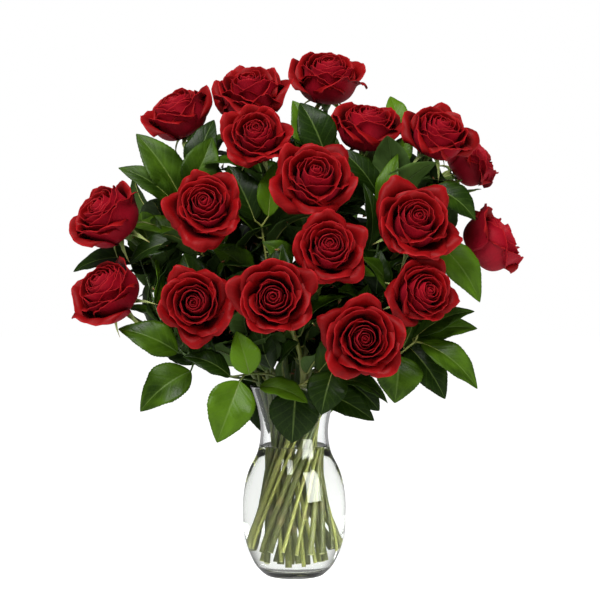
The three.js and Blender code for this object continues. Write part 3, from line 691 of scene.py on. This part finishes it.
STALK_SIDES = 12
THORN_SPACING = 21
THORN_LENGTH = 6.5
THORN_TILT = 104  # degrees from the stem's way
THORN_SIZES = (0.55, 1.1)
THORNLESS = 0.35  # the share of places without a thorn
NO_THORNS = (1000, 1.0)  # a spacing longer than any twig, and a length
BARE_BELOW = MOUTH_PLACE_HEIGHT + 25  # no thorn is lower
CUT_LENGTH = 0.15  # of the pale end at a stalk's foot

# Each kind of stalk: its radius, its girth at the foot and how much thinner it gets, both as shares of
# the radius, and its knots' first place, spacing, half length and swelling.
Kind = namedtuple("Kind", "radius girth taper first spacing half_length swelling")
STEM = Kind(STEM_RADIUS, 1.02, 0.14, 30, 52, 2.2, 0.16)
TWIG = Kind(TWIG_RADIUS, 1.05, 0.45, 24, 38, 1.6, 0.2)


def place_in_vase(ring_name, number, seed):
    """Where a stem stands: its foot in the water and its place at the mouth."""
    ring = RINGS[ring_name]
    turn = ring.start + ring.step * number + 3 * (draw(seed, 1) - 0.5)
    foot_radius = ring.foot * (1 - 0.05 * draw(seed, 2))
    foot = polar(foot_radius, turn + ring.spiral, ring.foot_height + 5 * draw(seed, 3))
    return foot, polar(ring.mouth, turn, MOUTH_PLACE_HEIGHT)


def stalk_tree():
    """Geometry nodes that turn a path, whose points carry their own girth, into a stalk with thorns."""
    tree = bpy.data.node_groups.new("stalk", "GeometryNodeTree")
    for name, kind in (
        ("Path", "Geometry"), ("Sides", "Int"), ("Thorn Spacing", "Float"), ("Thorn Length", "Float"),
        ("Bare Below", "Float"), ("Seed", "Int"), ("Material", "Material"),
    ):
        tree.interface.new_socket(name, in_out="INPUT", socket_type="NodeSocket" + kind)
    tree.interface.new_socket("Stalk", in_out="OUTPUT", socket_type="NodeSocketGeometry")
    graph = Graph(tree)
    given = graph.add("NodeGroupInput").output.node
    ask = {socket.name: Socket(graph, socket) for socket in given.outputs if socket.name}

    def height():
        return graph.axis(graph.add("GeometryNodeInputPosition"), 2)

    def chance(low, high, seed):
        values = {2: low, 3: high, "Seed": seed}
        return graph.add("FunctionNodeRandomValue", {"data_type": "FLOAT"}, values, output=1)

    girth = graph.add("GeometryNodeInputNamedAttribute", {"data_type": "FLOAT"}, {"Name": "girth"})
    path = graph.add("GeometryNodeMeshToCurve", values={0: ask["Path"]})
    round_values = {"Resolution": ask["Sides"], "Radius": 1.0}
    ring = graph.add("GeometryNodeCurvePrimitiveCircle", {"mode": "RADIUS"}, round_values)
    stalk = graph.add("GeometryNodeCurveToMesh", values={0: path, 1: ring, 2: girth, "Fill Caps": True})

    length = ask["Thorn Length"]
    cone = graph.add(
        "GeometryNodeMeshCone",
        values={"Vertices": 7, "Side Segments": 3, "Radius Bottom": length * 0.34, "Depth": length},
    )
    cone = graph.add(
        "GeometryNodeStoreNamedAttribute",
        {"data_type": "FLOAT", "domain": "POINT"},
        {"Geometry": cone, "Name": "thorn", "Value": height() / length},
    )
    leaning = graph.add(
        "GeometryNodeTransform",
        values={
            "Geometry": cone,
            "Translation": graph.point(STEM_RADIUS * MM * 0.85, 0.0),
            "Rotation": (0, math.radians(THORN_TILT), 0),
            "Scale": (1, 0.6, 1),
        },
    )
    spacing = {0: path, "Length": ask["Thorn Spacing"]}
    spots = graph.add("GeometryNodeCurveToPoints", {"mode": "LENGTH"}, spacing)
    upright = Socket(graph, spots.output.node.outputs["Rotation"])
    about_z = {"Axis": (0, 0, 1), "Angle": chance(0.0, math.tau, ask["Seed"])}
    spin = graph.add("FunctionNodeAxisAngleToRotation", values=about_z)
    turn = graph.add("FunctionNodeRotateRotation", {"rotation_space": "LOCAL"}, {0: upright, 1: spin})
    picked = chance(0.0, 1.0, ask["Seed"] + 2) > THORNLESS
    thorns = graph.add(
        "GeometryNodeInstanceOnPoints",
        values={
            "Points": spots,
            "Selection": (height() > ask["Bare Below"]) * picked,
            "Instance": leaning,
            "Rotation": turn,
            "Scale": chance(*THORN_SIZES, ask["Seed"] + 1),
        },
    )
    both = graph.add("GeometryNodeJoinGeometry")
    for part in (thorns, stalk):
        tree.links.new(part.output, both.output.node.inputs[0])
    whole = graph.add("GeometryNodeRealizeInstances", values={0: both})
    whole = graph.add("GeometryNodeSetShadeSmooth", values={0: whole})
    whole = graph.add("GeometryNodeSetMaterial", values={"Geometry": whole, "Material": ask["Material"]})
    graph.add("NodeGroupOutput", values={0: whole})
    return tree


STALK_TREE = stalk_tree()


def stalk_piece(name, paths, thorn_spacing, thorn_length, seed):
    """A plain mesh made by the stalk tree from paths of (points, girth, knot, cut, tone)."""
    lines = bpy.data.meshes.new(name)
    points = np.concatenate([path[0] for path in paths]) * MM
    edges, count = [], 0
    for path in paths:
        edges += [(count + k, count + k + 1) for k in range(len(path[0]) - 1)]
        count += len(path[0])
    lines.from_pydata(points.tolist(), edges, [])
    for number, key in enumerate(("girth", "knot", "cut", "tone"), 1):
        parts = [np.broadcast_to(np.asarray(path[number], float), len(path[0])) for path in paths]
        flat = np.concatenate(parts) * (MM if key == "girth" else 1)
        lines.attributes.new(key, "FLOAT", "POINT").data.foreach_set("value", flat)
    holder = placed(name, lines)
    modifier = holder.modifiers.new("stalk", "NODES")
    modifier.node_group = STALK_TREE
    wanted = {
        "Sides": STALK_SIDES,
        "Thorn Spacing": thorn_spacing * MM,
        "Thorn Length": thorn_length * MM,
        "Bare Below": BARE_BELOW * MM,
        "Seed": seed,
        "Material": STALK,
    }
    for socket in STALK_TREE.interface.items_tree:
        if socket.name in wanted:
            modifier[socket.identifier] = wanted[socket.name]
    seen = holder.evaluated_get(bpy.context.evaluated_depsgraph_get())
    solid = bpy.data.meshes.new_from_object(seen)
    holder.modifiers.clear()
    holder.data = solid
    solid.name = name
    return holder


def stalk_path(kind, seed, foot, mouth, bend):
    """A stalk's path, straight from its cut foot to the mouth and on along a bend."""
    straight = foot + (mouth - foot) * np.linspace(0, 1, 26)[:, None]
    points = np.concatenate([[foot, foot + unit(mouth - foot) * CUT_LENGTH], straight[1:], bend])
    walked = walked_along(points)
    length = walked[-1]
    knot = 0
    for k in range(int(length / kind.spacing)):
        place = kind.first + kind.spacing * (k + 0.5 * draw(seed, 40 + k))
        if place < length - 20:
            knot = knot + np.exp(-(((walked - place) / kind.half_length) ** 2))
    girth = kind.radius * (kind.girth - kind.taper * walked / length) * (1 + kind.swelling * knot)
    cut = np.zeros(len(points))
    cut[0] = 1
    return points, girth, np.clip(knot, 0, 1), cut, draw(seed, 60)


def stem_path(rose, seed, base, axis):
    foot, mouth = place_in_vase(rose.ring, rose.number, seed)
    end = base - axis * (HIP_LENGTH - 2) * rose.size
    reach = np.linalg.norm(mouth - end)
    corners = [mouth, mouth + unit(mouth - foot) * reach * 0.42, end - axis * reach * 0.3, end]
    t = np.linspace(0, 1, 44)[1:, None]
    weights = [(1 - t) ** 3, 3 * t * (1 - t) ** 2, 3 * t * t * (1 - t), t**3]
    bend = sum(weight * corner for weight, corner in zip(weights, corners))
    path = stalk_path(STEM, seed, foot, mouth, bend)
    path[1][-3:] *= [1.03, 1.1, 1.2]  # it widens into the hip
    return path


def with_leaf_stalks(path, stalks):
    return [path] + [(points, girth, 0.0, 0.0, path[4]) for points, girth in stalks]


# ---- blooms

PETALS = 30
WHORL = 5
PETAL_TURN = 144  # degrees from each petal of the outer whorls to the next one
GOLDEN_ANGLE = 137.5
PETAL_THICKNESS = 0.45
PETAL_COLUMNS = 19
PETAL_STEPS = 22

# A petal's measures, innermost at the heart and outermost. A side is lifted over the next petal.
PETAL_LENGTH = (38, 52)
PETAL_HALF_WIDTH = (12, 34)
BASE_RADIUS = (1.5, 4.5)
SIDE_CURL = (10, 120)  # degrees
SIDE_LIFT = (0.6, 3.2)
SIDE_ROLL = (0.3, 3.5)
FACE_WAVE = (0.2, 1.3)
RIM_WAVE = (0.35, 1.65)
RIM_RIPPLE = (0.15, 0.7)
FOLDS = (0.3, 1.8)
CREASES = (0.1, 0.6)
SPREAD = 14  # degrees between the petals that lean in most and those that lean out most
FALLEN_FROM = 0.72  # a draw above it is a petal whose rim has fallen outwards
FALLEN = 40  # degrees

# How far a petal leans from the bloom's axis, in degrees, at places from its base to its rim. The rows
# are for rings of petals from 0 at the heart to 1 outermost, in a full bloom and in a cupped one.
LEAN_AT = [0, 0.22, 0.45, 0.68, 0.86, 1]
RINGS_AT = [0, 0.35, 0.65, 1]
OPEN_LEANS = np.array([
    [40, 5, -6, -14, -18, -16],
    [84, 42, 10, -6, -4, 8],
    [92, 62, 28, 6, 14, 40],
    [95, 64, 30, 22, 54, 96],
])
CUPPED_LEANS = np.array([
    [40, 5, -6, -14, -18, -16],
    [88, 50, 8, -12, -16, -14],
    [96, 68, 18, -10, -12, 0],
    [98, 80, 32, -2, 2, 36],
])


def within(ends, share):
    return ends[0] + (ends[1] - ends[0]) * share


def petal_lean(ring, opened, spread):
    leans = opened * OPEN_LEANS + (1 - opened) * CUPPED_LEANS
    return np.array([np.interp(ring, RINGS_AT, column) for column in leans.T]) + spread * np.array(LEAN_AT)


def petal_grid(ring, azimuth, opened, seed):
    """A petal as a grid of points in its bloom's own frame, across by along."""
    across = np.linspace(-1, 1, PETAL_COLUMNS)[:, None]
    side = np.abs(across)
    along = 1 - (1 - np.arange(PETAL_STEPS + 1) / PETAL_STEPS) ** 1.35
    step, middle_of_step = np.diff(along), (along[1:] + along[:-1]) / 2
    outer = smooth(0.4, 0.8, ring)
    lean = petal_lean(ring, opened, (SPREAD + SPREAD * opened) * ring * (draw(seed, 1) - 0.5))
    curl = within(SIDE_CURL, smooth(0.15, 0.85, ring)) * (0.5 + 0.5 * opened)
    curl = curl * (0.6 + 0.8 * draw(seed, 2)) * (1 + 0.7 * (draw(seed, 8) - 0.5) * across)
    fallen = FALLEN * outer * (draw(seed, 7) > FALLEN_FROM)
    angle = np.interp(middle_of_step, LEAN_AT, lean) + fallen * middle_of_step**3
    rolled = smooth(0, 1, (middle_of_step - 0.8 + 0.32 * side) / (0.24 + 0.32 * side))
    angle = angle + curl * (0.1 + 0.9 * side**1.2) * rolled
    corner = np.sqrt(side**2 + 0.004) - 0.063  # a blunt one, in the middle of the rim
    length = within(PETAL_LENGTH, ring**0.8) * (0.94 + 0.12 * draw(seed, 5))
    length = length * (1.08 - 0.06 * opened - 0.2 * side**2.2 * (1 - outer))
    length = length - PETAL_LENGTH[1] * (0.13 + 0.14 * opened + 0.1 * draw(seed, 3)) * corner * outer
    start = np.zeros((PETAL_COLUMNS, 1))
    out = np.cumsum(np.sin(np.radians(angle)) * length * step, axis=1)
    up = np.cumsum(np.cos(np.radians(angle)) * length * step, axis=1)
    radius = within(BASE_RADIUS, ring) + np.hstack([start, out])
    height = BASE_RADIUS[0] * (1 - ring) + np.hstack([start, up])
    middle = np.maximum(radius[PETAL_COLUMNS // 2], 3)
    width = within(PETAL_HALF_WIDTH, ring**0.8) * (0.92 + 0.16 * draw(seed, 6)) * (1.2 - 0.2 * opened)
    width = width * (0.2 + 0.8 * smooth(-0.05, 0.6, along)) * (1 - 0.1 * smooth(0.8, 1, along))
    turn = azimuth + np.clip(width / middle, None, 3.2) * across
    wave = 6.28 * draw(seed, 4)
    radius += within(SIDE_LIFT, ring) * across * smooth(0.05, 0.5, along)
    radius += within(FACE_WAVE, ring) * np.sin(4 * across + 1.7 * wave) * along**3
    height += within(RIM_WAVE, ring) * np.sin(5 * across + wave) * along**4
    height += within(RIM_RIPPLE, ring) * np.sin(17 * across + 3 * wave) * along**7
    radius = np.maximum(radius, 0.6)
    grid = np.stack([radius * np.cos(turn), radius * np.sin(turn), height], -1)
    roll = within(SIDE_ROLL, ring**1.5) * side**6 * smooth(0.3, 0.9, along)
    cusps = 1 - np.abs(np.sin((5 + 2 * draw(seed, 9)) * across + 2 * wave))
    folds = within(FOLDS, ring) * (1.3 * cusps**2 - 0.4) * smooth(0.62, 1, along)
    folds += within(CREASES, ring) * np.sin(11 * across + 2.3 * wave) * along**5
    return grid + normals(grid) * (roll + folds)[..., None]


def petal_place(number):
    """A petal's ring and where it stands round the axis. Petals are numbered inwards."""
    last = 2 * WHORL - 1  # of the outer whorls
    degrees = PETAL_TURN * min(number, last) + 180 / WHORL * (min(number, last) // WHORL)
    degrees += GOLDEN_ANGLE * max(number - last, 0)
    return 1 - (number / (PETALS - 1)) ** 0.75, degrees


def shell_uv(across, along):
    """A shell's UV map, alike on both sides, from where its columns and rows are."""
    grids = np.meshgrid(across, along, indexing="ij")
    return np.tile(np.stack([grid.ravel() for grid in grids], -1), (2, 1))


def add_bloom(rose, seed, base, turn):
    bloom = Skin()
    uv = shell_uv(np.linspace(0, 1, PETAL_COLUMNS), np.linspace(0, 1, PETAL_STEPS + 1))
    back = np.repeat([1.0, 0.0], len(uv) // 2)
    for number in range(PETALS):
        ring, degrees = petal_place(number)
        azimuth = math.radians(degrees + 16 * (draw(seed, number) - 0.5))
        grid = petal_grid(ring, azimuth, rose.opened, seed + 20 * number) * rose.size
        points, faces = shell(grid, PETAL_THICKNESS)
        tone = draw(seed, 200 + number)
        bloom.add(points @ turn.T + base, faces, uv=uv, ring=ring, back=back, tone=tone)
    settle(bloom.piece(rose.name + "_bloom", PETAL), "petals", rose.name + "_petals")


# ---- calyxes

HIP_SIDES = 20
HIP_PROFILE = [
    (0, -HIP_LENGTH), (2.9, -HIP_LENGTH), (3.4, -9.6), (4.3, -8), (5.1, -6),
    (5.3, -4.4), (4.6, -2.8), (3.4, -1.6), (0, HEART_BASE + 0.4),
]
SEPAL_COLUMNS = 7
SEPAL_ROWS = 19
SEPAL_THICKNESS = 0.5


def sepal_grid(number, seed):
    """A sepal, bent out from the hip and back along the stem, as a grid in the bloom's own frame."""
    degrees = 360 / SEPALS * number + 20 * (draw(seed, 90 + number) - 0.5)
    droop = math.radians(115 + 25 * draw(seed, 95 + number))
    length = SEPAL_LENGTH * (0.85 + 0.3 * draw(seed, 100 + number))
    root = np.array([HIP_RADIUS - 0.8, -3.4])
    tip = np.array([HIP_RADIUS + length * math.sin(droop), -3.9 + length * math.cos(droop)])
    knee = root + length * np.array([0.42, 0.18])
    t = np.linspace(0, 1, SEPAL_ROWS)[:, None]
    line = (1 - t) ** 2 * root + 2 * t * (1 - t) * knee + t * t * tip
    t = t.ravel()
    width = 3.4 * np.sin(math.pi * (0.16 + 0.84 * t) ** 0.62) ** 0.9 * (1 - 0.35 * t) + 0.12
    width = width * (1 + 0.12 * np.sin(24 * t + 6 * draw(seed, 110 + number)) * smooth(0.1, 0.4, t))
    across = np.linspace(-1, 1, SEPAL_COLUMNS)[:, None]
    cupped = line[None] + (0.9 * across**2 * width)[..., None] * np.array([0.2, 0.9])
    out, aside = polar(1, degrees, 0), polar(1, degrees + 90, 0)
    grid = cupped[..., :1] * out + (across * width)[..., None] * aside
    grid[..., 2] = cupped[..., 1]
    return grid


def add_calyx(rose, seed, base, turn):
    """The green hip below a bloom, with its sepals bent back."""
    calyx = Skin()
    points, faces = turned(HIP_PROFILE, HIP_SIDES)
    calyx.add(points * rose.size @ turn.T + base, faces, along=0.0, side=0.0)
    side, along = shell_uv(np.abs(np.linspace(-1, 1, SEPAL_COLUMNS)), np.linspace(0, 1, SEPAL_ROWS)).T
    for number in range(SEPALS):
        points, faces = shell(sepal_grid(number, seed) * rose.size, SEPAL_THICKNESS)
        calyx.add(points @ turn.T + base, faces, along=along, side=side)
    settle(calyx.piece(rose.name + "_calyx", CALYX), "rose_stem", rose.name + "_stem")


def add_rose(rose, seed):
    axis = unit(rose.faces)
    base = np.array(rose.head, float) - axis * BLOOM_TO_HEAD * rose.size
    tilt = Vector((0, 0, 1)).rotation_difference(Vector(axis))
    turn = np.array((tilt @ Quaternion((0, 0, 1), math.radians(rose.roll))).to_matrix())
    add_bloom(rose, seed, base, turn)
    add_calyx(rose, seed, base, turn)
    path = stem_path(rose, seed, base, axis)
    leaf_seed = 300 + seed
    spare = filling_leaves(path[0], 32, 14, leaf_seed)
    stalks = add_leaves(rose.name, [], spare, path[0], leaf_seed, rose.name + "_stem")
    paths = with_leaf_stalks(path, stalks)
    stem = stalk_piece(rose.name + "_stalk", paths, THORN_SPACING, THORN_LENGTH, seed)
    settle(stem, "rose_stem", rose.name + "_stem")


# ---- greenery

LEAF_THICKNESS = 0.35
LEAF_ROWS = 63
TEETH = 21
RIB_COLUMNS = np.array([-1, -0.84, -0.64, -0.42, -0.22, -0.08, 0, 0.08, 0.22, 0.42, 0.64, 0.84, 1])
MORE_LEAVES = {  # further leaves of some twigs, which close gaps or hang down behind the vase's neck
    "greenery_top": [((26, 6, 436), (-2, 4, 498), 40, FRONT)],
    "greenery_upper_left": [((-104, -4, 420), (-84, 6, 478), 34, FRONT)],
    "greenery_upper_right": [((86, -22, 400), (46, -20, 446), 30, FRONT)],
    "greenery_low_right": [
        ((116, -60, 244), (152, -72, 192), 38, (0.1, -0.9, 0.4)),
        ((120, -60, 252), (186, -56, 262), 30, (0, -0.8, 0.6)),
    ],
    "greenery_front": [((46, -70, 214), (86, -70, 180), 36, (0.1, -0.9, 0.4))],
    "greenery_back_low": [
        ((-40, 66, 214), (-33, 47, 142), 46, (-0.2, -0.9, 0.3)),
        ((-12, 76, 222), (4, 62, 158), 38, (0.3, -0.9, 0.3)),
    ],
    "greenery_back": [((34, 62, 218), (27, 46, 154), 40, (0.3, -0.9, 0.3))],
}
LEAF_TONES = {  # how bright some leaves are, by the twig and the leaf's number on it
    ("greenery_low_left", 0): 0.78,
    ("greenery_left", 0): 0.56,
    ("greenery_low_right", 1): 0.6,
    ("greenery_low_right", 2): 0.6,
}

# Where a filling leaf may be: in the bouquet, not round a bloom or in front of it.
BOUQUET_MIDDLE = np.array([8, 0, 350])
BOUQUET_REACH = np.array([204, 132, 178])
BLOOM_DEPTH = 28
BLOOM_REACH = 42
LOWEST_FILLING = MOUTH_PLACE_HEIGHT + 22
FILLING_TURNS = 12  # how many ways a filling leaf tries


def leaf_outline(s):
    """The half width of a leaf, as a share of its widest, from its base to its pointed tip."""
    return np.maximum(np.sin(math.pi * s**0.72), 0) ** 0.85


def leaf_grid(start, tip, width, upper, seed, coarse=1):
    """A blade folded a little along its rib and arched, with a waved and finely toothed edge, as a grid of
    points, across by along."""
    start, tip = np.array(start, float), np.array(tip, float)
    length = np.linalg.norm(tip - start)
    ahead = unit(tip - start)
    normal = unit(upper - ahead * np.dot(upper, ahead))
    beside = np.cross(ahead, normal)
    arch = length * (0.1 + 0.08 * draw(seed, 1))
    s = np.linspace(0, 1, LEAF_ROWS // coarse + 1)[None, :]
    across = RIB_COLUMNS[::coarse, None]
    side = np.abs(across)
    outline = leaf_outline(s)
    half = np.maximum(width / 2 * outline, 0.9 * (1 - s))
    teeth = (s * TEETH % 1) * 0.045 * side**6 * smooth(0.05, 0.2, s) * (1 - smooth(0.93, 1, s))
    vein = np.cos(math.tau * side_veins(across, side, s))
    rise = 4 * arch * s * (1 - s) + half * (0.22 * side + 0.05 * np.sin(math.pi * side))
    rise += across * 1.6 * np.sin(7 * s + 6 * draw(seed, 2)) * outline
    rise += 0.16 * vein * smooth(0.05, 0.3, side) * (1 - 0.5 * side) * outline
    rise += 0.9 * np.sin(19 * s + 9 * draw(seed, 3) + 2 * across) * side**3 * outline
    spread = across * half * (1 + teeth)
    return start + ahead * (length * s)[..., None] + beside * spread[..., None] + normal * rise[..., None]


def fan_of_leaves(path, seed):
    """Leaves set alternately along the last half of a twig, each leaning out from it."""
    leaves = []
    for i in range(FAN):
        at = 0.5 + 0.5 * i / (FAN - 1)
        start = spline_point(path, at)
        ahead = unit(spline_point(path, min(at + 1e-4, 1)) - spline_point(path, at - 1e-4))
        outward = unit([start[0], start[1], 0])
        sideways = unit(np.cross(ahead, outward))
        hand = 0 if i == FAN - 1 else (1 if i % 2 else -1)
        direction = unit(ahead * (0.55 if hand else 1) + sideways * 0.95 * hand + outward * 0.25)
        blade = start + direction * 8
        tip = blade + direction * (58 + 12 * draw(seed, 10 + i))
        leaves.append((blade, tip, 38 + 8 * draw(seed, 20 + i), outward + [0, 0, 0.5]))
    return leaves


def inside_bouquet(grid):
    """Whether a blade stays within the bouquet, behind every bloom's face and off its body."""
    if np.any(np.sum(((grid - BOUQUET_MIDDLE) / BOUQUET_REACH) ** 2, axis=-1) > 1):
        return False
    for rose in ROSES:
        axis = unit(rose.faces)
        away = (grid - rose.head) / rose.size
        ahead = away @ axis
        aside = np.linalg.norm(away - ahead[..., None] * axis, axis=-1)
        if np.any((ahead > -BLOOM_DEPTH) & (aside < BLOOM_REACH)):
            return False
    return True


def filling_leaves(points, first, spacing, seed):
    """Smaller leaves from a stalk's tip down to the vase, each turned about it until it fills a gap."""
    walked = walked_along(points)
    leaves = []
    for number, at in enumerate(np.arange(walked[-1] - first, 0, -spacing)):
        i = max(int(np.searchsorted(walked, at)), 1)
        if points[i][2] < LOWEST_FILLING:
            break
        ahead = unit(points[i] - points[i - 1])
        beside = unit(np.cross(ahead, (0.3, 1, 0.1)))
        above = np.cross(ahead, beside)
        for attempt in range(FILLING_TURNS):
            own = seed + 10 * number + attempt
            turn = math.radians(GOLDEN_ANGLE * number + 40 * attempt + 40 * draw(seed, 7))
            out = math.cos(turn) * beside + math.sin(turn) * above
            way = unit(out + ahead * (0.3 + 0.6 * draw(own, 8)))
            blade = points[i] + way * 7
            tip = blade + way * (50 + 20 * draw(own, 9))
            leaf = (blade, tip, 34 + 12 * draw(own, 10), ahead + [0, 0, 0.4])
            if inside_bouquet(leaf_grid(*leaf, own, 6)):
                leaves.append(leaf)
                break
    return leaves


def leaf_stalk(root, grid):
    """The short stalk between a twig and a blade, which runs on under the blade as its rib."""
    centre = len(grid) // 2
    rib = grid[centre]
    knee = (root + rib[0]) / 2 - (rib[3] - rib[0]) * 0.15
    t = np.linspace(0, 1, 6)[:, None]
    lead = (1 - t) ** 2 * root + 2 * t * (1 - t) * knee + t * t * rib[0]
    places = np.linspace(1, len(rib) - 4, 10).astype(int)
    run = rib[places] - normals(grid)[centre, places] * LEAF_THICKNESS
    girth = np.concatenate([np.linspace(1.05, 0.85, len(lead)), np.linspace(0.8, 0.3, len(run))])
    return np.concatenate([lead, run]), girth


def add_leaves(name, leaves, spare, bearer, seed, node):
    """The blades on one bearer, in one piece. The paths of their stalks are given back."""
    foliage = Skin()
    stalks = []
    for i, leaf in enumerate(leaves + spare):
        own = seed * 10 + i
        coarse = 1 if i < len(leaves) else 2
        grid = leaf_grid(*leaf, own, coarse)
        uv = shell_uv(RIB_COLUMNS[::coarse], np.linspace(0, 1, grid.shape[1]))
        back = np.repeat([0.0, 1.0], len(uv) // 2)
        # The filling leaves (the coarse ones) get a tone only 0.7 as bright: painted shade deep inside the
        # bouquet.
        tone = LEAF_TONES.get((name, i), draw(own, 6) * (1.3 - 0.3 * coarse))
        foliage.add(*shell(grid, LEAF_THICKNESS), uv=uv, back=back, tone=tone)
        stalks.append(leaf_stalk(nearest(bearer, grid[len(grid) // 2, 0]), grid))
    if stalks:
        settle(foliage.piece(name + "_leaves", LEAF), "greenery", node)
    return stalks


def add_twig(twig, seed):
    foot, mouth = place_in_vase(twig.ring, twig.number, seed)
    way = [mouth, mouth + unit(mouth - foot) * 14] + [np.array(point, float) for point in twig.path]
    bend = spline(way, 16 * (len(way) - 1))
    leaves = (twig.leaves or fan_of_leaves(way[1:], seed)) + MORE_LEAVES.get(twig.name, [])
    spare = filling_leaves(bend, 18, 15, seed)
    stalks = add_leaves(twig.name, leaves, spare, bend, seed, twig.name)
    paths = with_leaf_stalks(stalk_path(TWIG, seed, foot, mouth, bend[1:]), stalks)
    settle(stalk_piece(twig.name + "_twig", paths, *NO_THORNS, seed), "greenery", twig.name)


# ---- the bouquet

FIRST_TWIG_SEED = 50

add_camera()
add_studio()
add_floor()
add_vase()
for number, rose in enumerate(ROSES):
    add_rose(rose, number + 1)
for number, twig in enumerate(TWIGS):
    add_twig(twig, FIRST_TWIG_SEED + number)

bpy.context.scene.view_settings.view_transform = "Standard"
bpy.context.scene.cycles.max_bounces = 24
bpy.context.scene.cycles.transmission_bounces = 20
